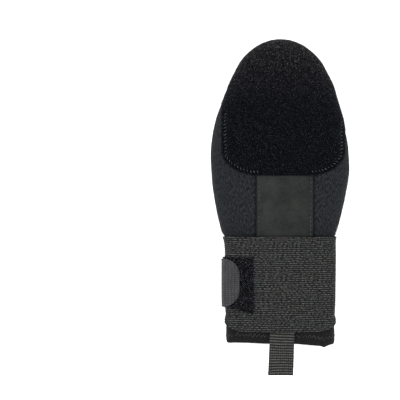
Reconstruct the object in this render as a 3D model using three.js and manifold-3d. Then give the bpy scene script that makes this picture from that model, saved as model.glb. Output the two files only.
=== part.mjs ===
// A padded sliding mitt for running bases: a hollow hand guard with a napped finger cap, smooth centre
// panels, an elastic wrist wrap with a hook and loop closure, a bound cuff and a webbing pull tab.
// Millimetres, +Z up. The mitt lies on its lower face, with the fingertips towards +Y.
import * as THREE from "three";
import Module from "manifold-3d";

const wasm = await Module();
wasm.setup();

// Driving sizes of the whole mitt
const MITT_LENGTH = 318; // fingertip to cuff rim
const MITT_WIDTH = 144; // across the knuckles
const MITT_DEPTH = 44; // through the padded shell at the knuckles
const GAP = 0.3; // clearance between pieces that lie on each other
const SETTLE = 0.6; // how far the pieces on the floor are pressed flat

// The shell, the cap and the panels
const SHELL_WALL = 4;
const CAP_THICKNESS = 2.6;
const CAP_EDGE_THICKNESS = 1.2;
const CAP_WIDTH = 127; // between the straight sides of the cap's stitched edge
const CAP_REACH = 143; // fingertip to the cap's lower edge
const CAP_CORNER_WIDTH = 38;
const CAP_CORNER_HEIGHT = 26;
const CAP_SHIFT = 2.2; // the upper face's half lies this far to +X, the lower face's to -X
const CAP_SEAM_SHIFT = 3; // at the mitt's two sides the cap lies this far to +X
const PANEL_WIDTH = 58;
const PANEL_THICKNESS = 1;
const PANEL_SHIFT = 3.5; // the upper panel lies this far to +X, the lower one to -X
const PANEL_TUCK = 7; // the panel's ends run this far under the cap and the wrap

// The wrist wrap and its closure
const WRAP_WIDTH = 100; // along the arm
const WRAP_THICKNESS = 1.5;
const WRAP_TO_RIM = 12.4;
const WRAP_CURVE = 8; // at the mitt's sides the edge by the rim draws back by this
const WRAP_START = 84; // arc from the -X edge, on the lower face, where the sewn end starts
const WRAP_END = 38; // arc from the -X edge, on the lower face, where the pointed end stops
const WRAP_TAPER = 30; // length of the pointed end
const STRAP_WIDTH = 50;
const STRAP_THICKNESS = 1.3;
const STRAP_TUCK = 7; // sewn under the wrap's pointed end
const STRAP_TONGUE = 21.5; // arc from the -X edge, on the upper face, where the tongue stops
const STRAP_LEAN = 3; // the tongue closes this much nearer the fingertips than the sewn end
const TONGUE_RADIUS = 17;
const PATCH_WIDTH = 57;
const PATCH_THICKNESS = 1.6;
const PATCH_START = 32; // arc from the -X edge, on the lower face
const PATCH_REACH = 36.5; // arc from the -X edge, on the upper face

// The cuff binding and the pull tab
const BINDING_WIDTH = 24;
const BINDING_INNER_WIDTH = 14;
const BINDING_THICKNESS = 1;
const RIM_ROUND = 4.5; // the rim's rounded end
const TAB_WIDTH = 25.4;
const TAB_THICKNESS = 1;
const TAB_REACH = 31; // past the cuff rim
const TAB_SHIFT = 1.2; // towards +X
const TAB_TUCK = 5; // under the wrap's edge
const TAB_DROOP = 6;
const TAB_OPENING = 1.6; // between the two legs at the fold

// How finely the surfaces are cut up
const AROUND = 44; // stations round the mitt
const ALONG = 17; // rings from the fingertip to the binding
const BURY = 2; // how far a piece runs into the shell before the shell's own form is cut from it

// The shell's sections, from the fingertip to the rim. along is a share of the shell's length,
// half a share of half the mitt's width, and low and high are shares of its depth.
const SECTIONS = [
  { along: 0, half: 0, low: 0.36, high: 0.36 },
  { along: 0.012, half: 0.226, low: 0.19, high: 0.53 },
  { along: 0.03, half: 0.361, low: 0.1, high: 0.63 },
  { along: 0.068, half: 0.533, low: 0.02, high: 0.75 },
  { along: 0.106, half: 0.6375, low: 0, high: 0.82 },
  { along: 0.146, half: 0.722, low: 0, high: 0.87 },
  { along: 0.184, half: 0.781, low: 0, high: 0.905 },
  { along: 0.223, half: 0.853, low: 0, high: 0.93 },
  { along: 0.262, half: 0.91, low: 0, high: 0.95 },
  { along: 0.3, half: 0.953, low: 0, high: 0.97 },
  { along: 0.342, half: 0.985, low: 0, high: 0.99 },
  { along: 0.39, half: 1, low: 0, high: 1 },
  { along: 0.45, half: 0.99, low: 0, high: 1 },
  { along: 0.5, half: 0.958, low: 0, high: 0.985 },
  { along: 0.54, half: 0.925, low: 0, high: 0.96 },
  { along: 0.58, half: 0.888, low: 0, high: 0.925 },
  { along: 0.615, half: 0.848, low: 0, high: 0.89 },
  { along: 0.638, half: 0.814, low: 0, high: 0.865 },
  { along: 0.656, half: 0.788, low: 0, high: 0.845 },
  { along: 0.69, half: 0.778, low: 0, high: 0.82 },
  { along: 0.8, half: 0.772, low: 0, high: 0.785 },
  { along: 0.92, half: 0.758, low: 0, high: 0.76 },
  { along: 0.985, half: 0.755, low: 0.006, high: 0.745 },
  { along: 1, half: 0.742, low: 0.03, high: 0.715 },
];
const TIP_POWER = 2.2; // how square the sections are: 2 is an ellipse
const PALM_POWER = 2.6;
const POWER_BY = 0.3; // the share of the length by which they are as square as the palm

// Lengths that follow from the driving sizes
const TIP_STEP = CAP_THICKNESS + GAP; // from the mitt's fingertip to the shell's
const RIM_STEP = BINDING_THICKNESS + GAP;
const SHELL_LENGTH = MITT_LENGTH - TIP_STEP - RIM_STEP;
const LAYER = WRAP_THICKNESS + GAP;
const CAP_LIFT = TIP_STEP - SETTLE; // the shell's height over the floor at the cap
const CUFF_LIFT = 2 * LAYER + RIM_STEP - SETTLE; // and at the wrap, whose two layers lie under it
const LIFT_FROM = 0.42; // the shares of the length between which the lift changes
const LIFT_TO = 0.7;
const WRAP_LOW = SHELL_LENGTH + RIM_STEP - WRAP_TO_RIM; // the wrap's edge by the rim
const WRAP_HIGH = WRAP_LOW - WRAP_WIDTH;
const WRAP_MIDDLE = (WRAP_LOW + WRAP_HIGH) / 2;
const CAP_END = CAP_REACH - TIP_STEP;
const PANEL_START = CAP_END - PANEL_TUCK;
const PANEL_END = WRAP_HIGH + PANEL_TUCK;
const BINDING_START = SHELL_LENGTH + RIM_STEP - BINDING_WIDTH;
const BINDING_INNER_START = SHELL_LENGTH + RIM_STEP - BINDING_INNER_WIDTH;
const TAB_START = WRAP_LOW - TAB_TUCK;
const DRAPE = 6; // over this length a layer climbs onto an edge beneath it
const DRAPE_MARGIN = 2;

const clamp01 = (x) => Math.min(1, Math.max(0, x));
const smooth = (x) => clamp01(x) ** 2 * (3 - 2 * clamp01(x));
const mix = (a, b, t) => a + (b - a) * t;
const ramp = (x, from, to) => smooth((x - from) / (to - from));

// A column of the table at a share of the length, as a smooth curve through its rows. The curve
// runs over the root of the share, which keeps the fingertip round.
const ROOTS = SECTIONS.map((row) => Math.sqrt(row.along));

function slope(column, i) {
  const a = Math.max(0, i - 1);
  const b = Math.min(SECTIONS.length - 1, i + 1);
  return (SECTIONS[b][column] - SECTIONS[a][column]) / (ROOTS[b] - ROOTS[a]);
}

function columnAt(column, root) {
  let i = 0;
  while (i < ROOTS.length - 2 && root > ROOTS[i + 1]) i += 1;
  const width = ROOTS[i + 1] - ROOTS[i];
  const t = (root - ROOTS[i]) / width;
  if (t > 1) {
    // Past the rim the last section goes on straight
    return SECTIONS[i + 1][column];
  }
  const [p, q] = [SECTIONS[i][column], SECTIONS[i + 1][column]];
  const [m, n] = [slope(column, i) * width, slope(column, i + 1) * width];
  return (
    (2 * t ** 3 - 3 * t ** 2 + 1) * p +
    (t ** 3 - 2 * t ** 2 + t) * m +
    (3 * t ** 2 - 2 * t ** 3) * q +
    (t ** 3 - t ** 2) * n
  );
}

const signedPower = (x, power) => Math.sign(x) * Math.abs(x) ** power;

// A point of the shell's outer surface. root is the root of the share of the length, and turn the
// angle round the section, from +X over the upper face.
function skin(root, turn) {
  const share = root * root;
  const half = (columnAt("half", root) * MITT_WIDTH) / 2;
  const lift = mix(CAP_LIFT, CUFF_LIFT, ramp(share, LIFT_FROM, LIFT_TO));
  const low = lift + columnAt("low", root) * MITT_DEPTH;
  const high = lift + columnAt("high", root) * MITT_DEPTH;
  const power = 2 / mix(TIP_POWER, PALM_POWER, smooth(share / POWER_BY));
  return new THREE.Vector3(
    half * signedPower(Math.cos(turn), power),
    -share * SHELL_LENGTH,
    (low + high) / 2 + ((high - low) / 2) * signedPower(Math.sin(turn), power),
  );
}

const ROOT_STEP = 0.002;
const TURN_STEP = 0.01;

function skinNormal(root, turn) {
  if (root < ROOT_STEP) return new THREE.Vector3(0, 1, 0);
  const down = skin(root + ROOT_STEP, turn).sub(skin(root - ROOT_STEP, turn));
  const round = skin(root, turn + TURN_STEP).sub(skin(root, turn - TURN_STEP));
  return round.cross(down).normalize();
}

// A point over the skin. distance is measured along the mitt from the shell's fingertip.
function over(distance, turn, offset) {
  const root = Math.sqrt(Math.max(0, distance) / SHELL_LENGTH);
  return skin(root, turn).addScaledVector(skinNormal(root, turn), offset);
}

// Arc lengths round the cuff, measured from the -X edge over the lower face
const CUFF_ROOT = Math.sqrt(WRAP_MIDDLE / SHELL_LENGTH);
const ARC_STEPS = 720;
const ARC = [0];
for (let i = 1; i <= ARC_STEPS; i += 1) {
  const turnOf = (k) => Math.PI + (2 * Math.PI * k) / ARC_STEPS;
  const step = skin(CUFF_ROOT, turnOf(i)).distanceTo(skin(CUFF_ROOT, turnOf(i - 1)));
  ARC.push(ARC[i - 1] + step);
}
const GIRTH = ARC[ARC_STEPS];

// The turn at an arc length from the -X edge: over the lower face where it is positive, over the
// upper face where it is negative
function turnAt(arc) {
  const laps = Math.floor(arc / GIRTH);
  const rest = arc - laps * GIRTH;
  let i = 1;
  while (ARC[i] < rest && i < ARC_STEPS) i += 1;
  const share = (rest - ARC[i - 1]) / (ARC[i] - ARC[i - 1]);
  return Math.PI + 2 * Math.PI * (laps + (i - 1 + share) / ARC_STEPS);
}

const STATION = GIRTH / AROUND;
const TURNS = Array.from({ length: AROUND }, (_, i) => turnAt(i * STATION));

// Solids are made from rows of points, each row a ring or an open run

function manifoldOf(points, triangles) {
  return new wasm.Manifold(
    new wasm.Mesh({
      numProp: 3,
      vertProperties: new Float32Array(points.flatMap((p) => [p.x, p.y, p.z])),
      triVerts: new Uint32Array(triangles.flat()),
    }),
  );
}

function facingOut(points, triangles) {
  const solid = manifoldOf(points, triangles);
  if (solid.volume() > 0) return solid;
  return manifoldOf(
    points,
    triangles.map(([a, b, c]) => [a, c, b]),
  );
}

// Closed rings lofted one to the next, with a point that closes each end
function ringSolid(first, rings, last) {
  const points = [first, ...rings.flat(), last];
  const count = rings[0].length;
  const at = (ring, i) => 1 + ring * count + (i % count);
  const triangles = [];
  for (let i = 0; i < count; i += 1) {
    triangles.push([0, at(0, i), at(0, i + 1)]);
    triangles.push([points.length - 1, at(rings.length - 1, i + 1), at(rings.length - 1, i)]);
    for (let r = 0; r < rings.length - 1; r += 1) {
      triangles.push([at(r, i), at(r + 1, i), at(r, i + 1)]);
      triangles.push([at(r, i + 1), at(r + 1, i), at(r + 1, i + 1)]);
    }
  }
  return facingOut(points, triangles);
}

// Closed sections lofted one to the next. A section is an outer run and the inner run back, so its
// points pair up across it, and the pairs make the end faces.
function sweepSolid(sections, closed) {
  const points = sections.flat();
  const count = sections[0].length;
  const at = (section, i) => (section % sections.length) * count + (i % count);
  const triangles = [];
  const spans = closed ? sections.length : sections.length - 1;
  for (let s = 0; s < spans; s += 1) {
    for (let i = 0; i < count; i += 1) {
      triangles.push([at(s, i), at(s + 1, i), at(s, i + 1)]);
      triangles.push([at(s, i + 1), at(s + 1, i), at(s + 1, i + 1)]);
    }
  }
  if (!closed) {
    const end = sections.length - 1;
    for (let i = 0; i < count / 2 - 1; i += 1) {
      const back = count - 1 - i;
      triangles.push([at(0, i), at(0, i + 1), at(0, back)]);
      triangles.push([at(0, i + 1), at(0, back - 1), at(0, back)]);
      triangles.push([at(end, i), at(end, back), at(end, i + 1)]);
      triangles.push([at(end, i + 1), at(end, back), at(end, back - 1)]);
    }
  }
  return facingOut(points, triangles);
}

const onFloor = (point) => point.setZ(Math.max(0, point.z));

// Steps that lie close together by the fingertip
const tipSteps = (count) =>
  Array.from({ length: count }, (_, i) => 1 - Math.cos((Math.PI * (i + 1)) / (2 * count)));

// The rings of the shell before its rim
const SHELL_RINGS = [
  ...tipSteps(ALONG).map((share) => share * BINDING_START),
  SHELL_LENGTH - RIM_ROUND,
];

// A point of the rim's section, moved along the mitt to a distance
const rimPoint = (distance, turn, offset) => over(SHELL_LENGTH, turn, offset).setY(-distance);

function closedForm(offset, rimDistances) {
  const rings = [
    ...SHELL_RINGS.map((distance) => TURNS.map((turn) => over(distance, turn, offset))),
    ...rimDistances.map((distance) => TURNS.map((turn) => rimPoint(distance, turn, offset))),
  ];
  const centre = new THREE.Vector3(0, rings.at(-1)[0].y, rings.at(-1)[0].z);
  return ringSolid(over(0, 0, offset), rings, centre);
}

// The shell's form, grown by an offset and without its hollow
const shellForm = (offset) => closedForm(offset, [SHELL_LENGTH + offset]);

// The hollow that the hand goes into, which runs out past the rim
const hollowForm = () => closedForm(-SHELL_WALL, [SHELL_LENGTH, SHELL_LENGTH + SHELL_WALL]);

const grownShell = shellForm(GAP);

// A panel, or with a margin the room that it takes, on the upper or the lower face
function panelSolid(side, margin) {
  const rows = 12;
  const columns = 6;
  const middle = (side * Math.PI) / 2;
  const sections = [];
  for (let r = 0; r <= rows; r += 1) {
    const distance = mix(PANEL_START - margin, PANEL_END + margin, r / rows);
    const root = Math.sqrt(distance / SHELL_LENGTH);
    const outer = [];
    const inner = [];
    for (let c = 0; c <= columns; c += 1) {
      const x = mix(-1, 1, c / columns) * (PANEL_WIDTH / 2 + margin);
      const turn = turnForX(root, x + side * PANEL_SHIFT, middle);
      outer.push(over(distance, turn, GAP + PANEL_THICKNESS + margin));
      inner.push(over(distance, turn, GAP - margin));
    }
    sections.push([...outer, ...inner.reverse()]);
  }
  return sweepSolid(sections, false);
}

// The turn at which a section's skin has a given x, on the face that middle points to
function turnForX(root, x, middle) {
  let near = middle - Math.PI / 2;
  let far = middle + Math.PI / 2;
  const rising = skin(root, near).x < skin(root, far).x;
  for (let i = 0; i < 40; i += 1) {
    const turn = (near + far) / 2;
    if (skin(root, turn).x < x === rising) near = turn;
    else far = turn;
  }
  return (near + far) / 2;
}

// How far a layer is lifted off the skin by the edges that it lies on
function drape(distance, turn) {
  const root = Math.sqrt(distance / SHELL_LENGTH);
  const point = skin(root, turn);
  const reach = PANEL_WIDTH / 2 + DRAPE_MARGIN;
  const offMiddle = Math.abs(point.x - PANEL_SHIFT * Math.sign(Math.sin(turn)));
  const beside = 1 - ramp(offMiddle, reach, reach + DRAPE);
  const within =
    ramp(distance, PANEL_START - DRAPE_MARGIN - DRAPE, PANEL_START - DRAPE_MARGIN) *
    (1 - ramp(distance, PANEL_END + DRAPE_MARGIN, PANEL_END + DRAPE_MARGIN + DRAPE));
  const panel = (PANEL_THICKNESS + GAP) * beside * within;
  const bindingEdge = BINDING_START - DRAPE_MARGIN;
  const binding = (BINDING_THICKNESS + GAP) * ramp(distance, bindingEdge - DRAPE, bindingEdge);
  const tabReach = TAB_WIDTH / 2 + DRAPE_MARGIN;
  const tabBeside = 1 - ramp(Math.abs(point.x - TAB_SHIFT), tabReach, tabReach + DRAPE);
  const tabEdge = TAB_START - DRAPE_MARGIN;
  const upper = Math.sin(turn) > 0 ? 1 : 0;
  const tab = (TAB_THICKNESS + GAP) * tabBeside * upper * ramp(distance, tabEdge - DRAPE, tabEdge);
  return panel + binding + tab;
}

// The finger cap: its edge runs in a U over each face and meets itself at the sides
function insideCap(distance, turn) {
  const root = Math.sqrt(distance / SHELL_LENGTH);
  const face = Math.sin(turn);
  const shift = mix(CAP_SEAM_SHIFT, CAP_SHIFT * Math.sign(face), smooth(Math.abs(face) / 0.6));
  const x = Math.abs(skin(root, turn).x - shift);
  if (x > CAP_WIDTH / 2 || distance > CAP_END) return false;
  const intoX = x - (CAP_WIDTH / 2 - CAP_CORNER_WIDTH);
  const intoY = distance - (CAP_END - CAP_CORNER_HEIGHT);
  if (intoX < 0 || intoY < 0) return true;
  return Math.hypot(intoX / CAP_CORNER_WIDTH, intoY / CAP_CORNER_HEIGHT) < 1;
}

const CAP_SEARCH_STEP = 2;
const CAP_EDGE_STEP = 11; // about how far the edge runs between two stations

function capEdge(turn) {
  let inside = CAP_CORNER_HEIGHT;
  while (insideCap(inside + CAP_SEARCH_STEP, turn)) inside += CAP_SEARCH_STEP;
  let outside = inside + CAP_SEARCH_STEP;
  for (let i = 0; i < 20; i += 1) {
    const middle = (inside + outside) / 2;
    if (insideCap(middle, turn)) inside = middle;
    else outside = middle;
  }
  return inside;
}

// The shell's stations, with more of them where the cap's edge runs along the mitt's sides
function capTurns() {
  const turns = [];
  TURNS.forEach((turn, i) => {
    const next = i + 1 < AROUND ? TURNS[i + 1] : TURNS[0] + 2 * Math.PI;
    const rise = Math.abs(capEdge(next) - capEdge(turn));
    const parts = Math.max(1, Math.round(rise / CAP_EDGE_STEP));
    for (let k = 0; k < parts; k += 1) turns.push(mix(turn, next, k / parts));
  });
  return turns;
}

function capSolid() {
  const count = 8;
  const turns = capTurns();
  const edges = turns.map(capEdge);
  const shares = tipSteps(count);
  const ring = (share, offset) =>
    turns.map((turn, i) => {
      const distance = share * edges[i];
      return over(distance, turn, offset + drape(distance, turn));
    });
  const thickness = (share) => mix(CAP_THICKNESS, CAP_EDGE_THICKNESS, ramp(share, 0.6, 1));
  const outer = shares.map((share) => ring(share, GAP + thickness(share)).map(onFloor));
  const inner = shares.map((share) => ring(share, -BURY)).reverse();
  const form = ringSolid(
    over(0, 0, GAP + CAP_THICKNESS),
    [...outer, ...inner],
    over(0, 0, -BURY),
  );
  return form
    .subtract(grownShell)
    .subtract(panelSolid(1, GAP))
    .subtract(panelSolid(-1, GAP));
}

// A strip round the cuff. arcs are its stations, edges gives the ends of a station across the
// strip, shares its rows between them, and under and above are its two faces' heights over the skin.
function stripSolid({ arcs, edges, shares, under, above }) {
  const sections = arcs.map((arc) => {
    const turn = turnAt(arc);
    const [from, to] = edges(arc);
    const distances = shares.map((share) => mix(from, to, share));
    const outer = distances.map((d) => over(d, turn, above(arc, d, turn)));
    const inner = distances.map((d) => over(d, turn, under(arc, d, turn)));
    return [...outer.map(onFloor), ...inner.reverse()];
  });
  return sweepSolid(sections, false);
}

// The stations of a strip, with the ones that every layer shares between its ends
function arcsBetween(from, to, extra = []) {
  const [low, high] = [Math.min(from, to), Math.max(from, to)];
  const nearest = STATION / 4;
  const shared = [];
  for (let k = Math.ceil(low / STATION); k * STATION < high; k += 1) shared.push(k * STATION);
  const ends = [low, high, ...extra];
  const kept = shared.filter((arc) => ends.every((end) => Math.abs(end - arc) > nearest));
  return [...ends, ...kept].sort((a, b) => a - b);
}

// The wrap is one strip that goes round once and then over its own start. Its arcs run down from
// WRAP_START, round the -X edge at 0, over the upper face and the +X edge, to the pointed end.
const WRAP_TIP = WRAP_END - GIRTH;
const LIFT_OFF = WRAP_START - GIRTH + DRAPE_MARGIN; // the second layer lies on the first from here
const CLIMB = 40; // the arc over which the second layer climbs onto the first
const LEAVE_SHARE = 1 / 8;
const STRAP_SEWN = WRAP_TIP + STRAP_TUCK; // the strap's sewn end, between the two layers
const STRAP_CLIMB = 12;

const onSecondLap = (arc) => 1 - ramp(arc, LIFT_OFF, LIFT_OFF + CLIMB);

// The wrap runs to lower arcs as it winds, so on its second lap the lower face is at arc - GIRTH
function wrapLift(arc, distance) {
  const strapEdge = STRAP_WIDTH / 2 + 2 * DRAPE_MARGIN;
  const onStrap =
    (1 - ramp(arc, STRAP_SEWN + DRAPE_MARGIN, STRAP_SEWN + STRAP_CLIMB)) *
    (1 - ramp(Math.abs(distance - WRAP_MIDDLE), strapEdge, strapEdge + DRAPE));
  return LAYER * onSecondLap(arc) + (STRAP_THICKNESS + GAP) * onStrap;
}

// The second lap leaves the shell over the first eighth of its climb
function wrapUnder(arc, distance, turn) {
  const left = clamp01(onSecondLap(arc) / LEAVE_SHARE);
  if (left === 0) return -BURY;
  return mix(-BURY, GAP, smooth(left)) + wrapLift(arc, distance) + drape(distance, turn);
}

const wrapAbove = (arc, distance, turn) =>
  GAP + WRAP_THICKNESS + wrapLift(arc, distance) + drape(distance, turn);

function wrapEdges(arc) {
  const taper = 1 - clamp01((arc - WRAP_TIP) / WRAP_TAPER);
  const half = mix(WRAP_WIDTH / 2, STRAP_WIDTH / 2 + GAP, taper);
  const drawn = WRAP_CURVE * Math.cos(turnAt(arc)) ** 8 * (1 - taper);
  return [WRAP_MIDDLE - half, WRAP_MIDDLE + half - drawn];
}

const WRAP_ROWS = [0, 0.09, 0.15, 0.21, 0.5, 0.79, 0.85, 0.91, 1];

function wrapSolid() {
  const form = stripSolid({
    arcs: arcsBetween(WRAP_TIP, WRAP_START, [WRAP_TIP + WRAP_TAPER]),
    edges: wrapEdges,
    shares: WRAP_ROWS,
    under: wrapUnder,
    above: wrapAbove,
  });
  return form
    .subtract(grownShell)
    .subtract(panelSolid(1, GAP))
    .subtract(panelSolid(-1, GAP))
    .subtract(bindingSolid(GAP))
    .subtract(tabForm(GAP));
}

// The loop patch lies on the wrap's first layer, round the -X edge
function patchSolid() {
  const half = PATCH_WIDTH / 2;
  return stripSolid({
    arcs: arcsBetween(-PATCH_REACH, PATCH_START),
    edges: () => [WRAP_MIDDLE - half, WRAP_MIDDLE + half],
    shares: [0, 0.5, 1],
    under: (arc, distance, turn) => GAP + LAYER + drape(distance, turn),
    above: (arc, distance, turn) => GAP + LAYER + PATCH_THICKNESS + drape(distance, turn),
  });
}

// The hook strap starts between the wrap's layers, and lies on the patch round the -X edge
function strapEdges(arc) {
  const left = arc + STRAP_TONGUE; // how far the tongue's end still is
  const into = clamp01(1 - left / TONGUE_RADIUS);
  const round = 1 - Math.sqrt(1 - into * into);
  const half = STRAP_WIDTH / 2 - round * TONGUE_RADIUS;
  const middle = WRAP_MIDDLE - STRAP_LEAN * clamp01((WRAP_END - arc) / (WRAP_END + STRAP_TONGUE));
  return [middle - half, middle + half];
}

function strapSolid() {
  const sewn = WRAP_END + STRAP_TUCK;
  const onPatch = (arc) => 1 - ramp(arc, PATCH_START + 1, WRAP_END + 1);
  const height = (arc, distance, turn) =>
    GAP + LAYER + (PATCH_THICKNESS + GAP) * onPatch(arc) + drape(distance, turn);
  const tongue = [0.03, 0.12, 0.28, 0.5, 0.75].map((s) => -STRAP_TONGUE + s * TONGUE_RADIUS);
  const bend = [PATCH_START + 1, (PATCH_START + WRAP_END) / 2 + 1, WRAP_END + 1];
  return stripSolid({
    arcs: arcsBetween(-STRAP_TONGUE, sewn, [...tongue, ...bend]),
    edges: strapEdges,
    shares: [0, 0.5, 1],
    under: height,
    above: (arc, distance, turn) => height(arc, distance, turn) + STRAP_THICKNESS,
  });
}

// The binding is folded over the shell's rim. With a margin it is the room that it takes.
function bindingSolid(margin) {
  const outer = [GAP - margin, GAP + BINDING_THICKNESS + margin];
  const inner = outer.map((offset) => -SHELL_WALL - offset);
  const rim = SHELL_LENGTH + RIM_STEP + margin;
  const sections = TURNS.map((turn) => {
    return [
      over(BINDING_START - margin, turn, outer[1]),
      over(SHELL_LENGTH - RIM_ROUND, turn, outer[1]),
      rimPoint(rim, turn, outer[0]),
      rimPoint(rim, turn, inner[0]),
      over(SHELL_LENGTH - RIM_ROUND, turn, inner[1]),
      over(BINDING_INNER_START - margin, turn, inner[1]),
      over(BINDING_INNER_START - margin, turn, inner[0]),
      over(SHELL_LENGTH - RIM_ROUND, turn, inner[0]),
      rimPoint(SHELL_LENGTH + GAP - margin, turn, inner[0]),
      rimPoint(SHELL_LENGTH + GAP - margin, turn, outer[0]),
      over(SHELL_LENGTH - RIM_ROUND, turn, outer[0]),
      over(BINDING_START - margin, turn, outer[0]),
    ];
  });
  return sweepSolid(sections, true);
}

// The pull tab is one length of webbing, folded at its far end and sewn onto the binding
function tabOutline(margin) {
  const seat = over(WRAP_LOW, Math.PI / 2, GAP + BINDING_THICKNESS + GAP).z;
  const fold = -(SHELL_LENGTH + RIM_STEP + TAB_REACH);
  const lowerStart = -(WRAP_LOW + GAP);
  const upperStart = -TAB_START;
  const steps = 8;
  const legs = [];
  const bend = (TAB_THICKNESS * 2 + TAB_OPENING) / 2;
  const foldCentre = fold + bend;
  const middle = TAB_THICKNESS / 2;
  const droopAt = (y) => TAB_DROOP * clamp01((lowerStart - y) / (lowerStart - foldCentre)) ** 2;
  const spread = (y) => mix(GAP, TAB_OPENING, ramp(-y, -lowerStart, -foldCentre));
  const climb = (y) => TAB_THICKNESS + spread(y);
  const rise = (y) => climb(y) * (1 - ramp(y, lowerStart, lowerStart + TAB_TUCK / 2));
  for (let i = 0; i <= 2; i += 1) {
    const y = mix(upperStart, lowerStart + GAP, i / 2);
    legs.push([y, seat + middle + rise(y) - droopAt(y)]);
  }
  for (let i = 0; i <= steps; i += 1) {
    const y = mix(lowerStart, foldCentre, i / steps);
    legs.push([y, seat + middle + climb(y) - droopAt(y)]);
  }
  const bendRadius = (climb(foldCentre)) / 2;
  const bendZ = seat + middle - TAB_DROOP + bendRadius;
  const arcSteps = 5;
  for (let i = 1; i < arcSteps; i += 1) {
    const a = Math.PI / 2 + (Math.PI * i) / arcSteps;
    legs.push([foldCentre + bendRadius * Math.cos(a), bendZ + bendRadius * Math.sin(a)]);
  }
  for (let i = steps; i >= 0; i -= 1) {
    const y = mix(lowerStart, foldCentre, i / steps);
    legs.push([y, seat + middle - droopAt(y)]);
  }
  return ribbonOutline(legs, TAB_THICKNESS / 2 + margin);
}

// The outline of a ribbon of a given half thickness along a run of [y, z] points
function ribbonOutline(run, half) {
  const left = [];
  const right = [];
  run.forEach(([y, z], i) => {
    const [ay, az] = run[Math.max(0, i - 1)];
    const [by, bz] = run[Math.min(run.length - 1, i + 1)];
    const length = Math.hypot(by - ay, bz - az);
    const [ny, nz] = [-(bz - az) / length, (by - ay) / length];
    left.push([y + ny * half, z + nz * half]);
    right.push([y - ny * half, z - nz * half]);
  });
  return [...left, ...right.reverse()];
}

function tabForm(margin) {
  const outline = tabOutline(margin);
  const sections = [-1, 1].map((side) => {
    const x = TAB_SHIFT + side * (TAB_WIDTH / 2 + margin);
    return outline.map(([y, z]) => new THREE.Vector3(x, y, z));
  });
  return sweepSolid(sections, false);
}

const tabSolid = () => tabForm(0).subtract(bindingSolid(GAP));

// The pieces

function mesh(name, solid, color, roughness) {
  const { vertProperties, triVerts, numProp } = solid.getMesh();
  const positions = new Float32Array((vertProperties.length / numProp) * 3);
  for (let i = 0; i < positions.length / 3; i += 1) {
    positions.set(vertProperties.subarray(i * numProp, i * numProp + 3), i * 3);
  }
  const geometry = new THREE.BufferGeometry();
  geometry.setAttribute("position", new THREE.BufferAttribute(positions, 3));
  geometry.setIndex(new THREE.BufferAttribute(triVerts, 1));
  geometry.computeVertexNormals();
  const material = new THREE.MeshStandardMaterial({ color, roughness, metalness: 0 });
  const made = new THREE.Mesh(geometry, material);
  made.name = name;
  return made;
}

const NEOPRENE = 0x1b1c20;
const NAPPED = 0x0d0d10;
const SMOOTH = 0x2a2c29;
const ELASTIC = 0x333534;
const HOOK_TAPE = 0x47474a;
const LOOP_PILE = 0x101013;
const BINDING = 0x1a1a1a;
const WEBBING = 0x353533;

const mitt = new THREE.Group();
mitt.add(
  mesh("mitt_shell", shellForm(0).subtract(hollowForm()), NEOPRENE, 0.9),
  mesh("upper_panel", panelSolid(1, 0), SMOOTH, 0.7),
  mesh("lower_panel", panelSolid(-1, 0), SMOOTH, 0.7),
  mesh("finger_cap", capSolid(), NAPPED, 1),
  mesh("cuff_binding", bindingSolid(0), BINDING, 0.9),
  mesh("wrist_wrap", wrapSolid(), ELASTIC, 0.85),
  mesh("loop_patch", patchSolid(), LOOP_PILE, 1),
  mesh("hook_strap", strapSolid(), HOOK_TAPE, 0.8),
  mesh("pull_tab", tabSolid(), WEBBING, 0.8),
);

// The origin is on the floor under the middle of the mitt's outline
const box = new THREE.Box3().setFromObject(mitt);
mitt.position.set(-(box.min.x + box.max.x) / 2, -(box.min.y + box.max.y) / 2, -box.min.z);

export default mitt;
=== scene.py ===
"""A padded sliding mitt, lying on its lower face with the fingertips towards +Y, seen from above."""

import math

import bpy
import numpy as np
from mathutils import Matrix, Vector, kdtree


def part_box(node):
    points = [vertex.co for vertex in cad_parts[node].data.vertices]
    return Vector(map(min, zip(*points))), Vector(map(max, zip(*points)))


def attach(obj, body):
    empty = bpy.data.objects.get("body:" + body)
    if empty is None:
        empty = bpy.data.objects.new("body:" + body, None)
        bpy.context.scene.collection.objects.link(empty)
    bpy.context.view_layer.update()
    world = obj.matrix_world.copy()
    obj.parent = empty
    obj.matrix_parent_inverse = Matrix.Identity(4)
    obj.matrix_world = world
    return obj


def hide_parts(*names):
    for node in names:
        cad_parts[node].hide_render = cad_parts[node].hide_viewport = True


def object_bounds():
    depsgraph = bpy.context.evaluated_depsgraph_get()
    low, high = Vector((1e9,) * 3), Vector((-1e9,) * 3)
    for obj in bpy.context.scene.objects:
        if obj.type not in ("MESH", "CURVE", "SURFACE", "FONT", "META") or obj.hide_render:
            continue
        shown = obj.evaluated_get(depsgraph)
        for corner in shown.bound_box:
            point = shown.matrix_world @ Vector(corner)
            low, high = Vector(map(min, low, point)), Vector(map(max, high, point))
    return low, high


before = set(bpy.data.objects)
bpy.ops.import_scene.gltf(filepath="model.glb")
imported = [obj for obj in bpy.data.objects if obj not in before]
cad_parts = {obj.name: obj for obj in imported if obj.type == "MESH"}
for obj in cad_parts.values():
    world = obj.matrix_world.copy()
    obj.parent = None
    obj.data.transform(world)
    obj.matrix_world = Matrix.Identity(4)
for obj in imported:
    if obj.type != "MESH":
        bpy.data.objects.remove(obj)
CAD_BOX = [list(corner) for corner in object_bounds()]

MM = 0.001
TAU = 2 * math.pi


def table(columns, rows):
    """A table's columns by their names."""
    return dict(zip(columns.split(), np.array(rows, float).T))


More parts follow.
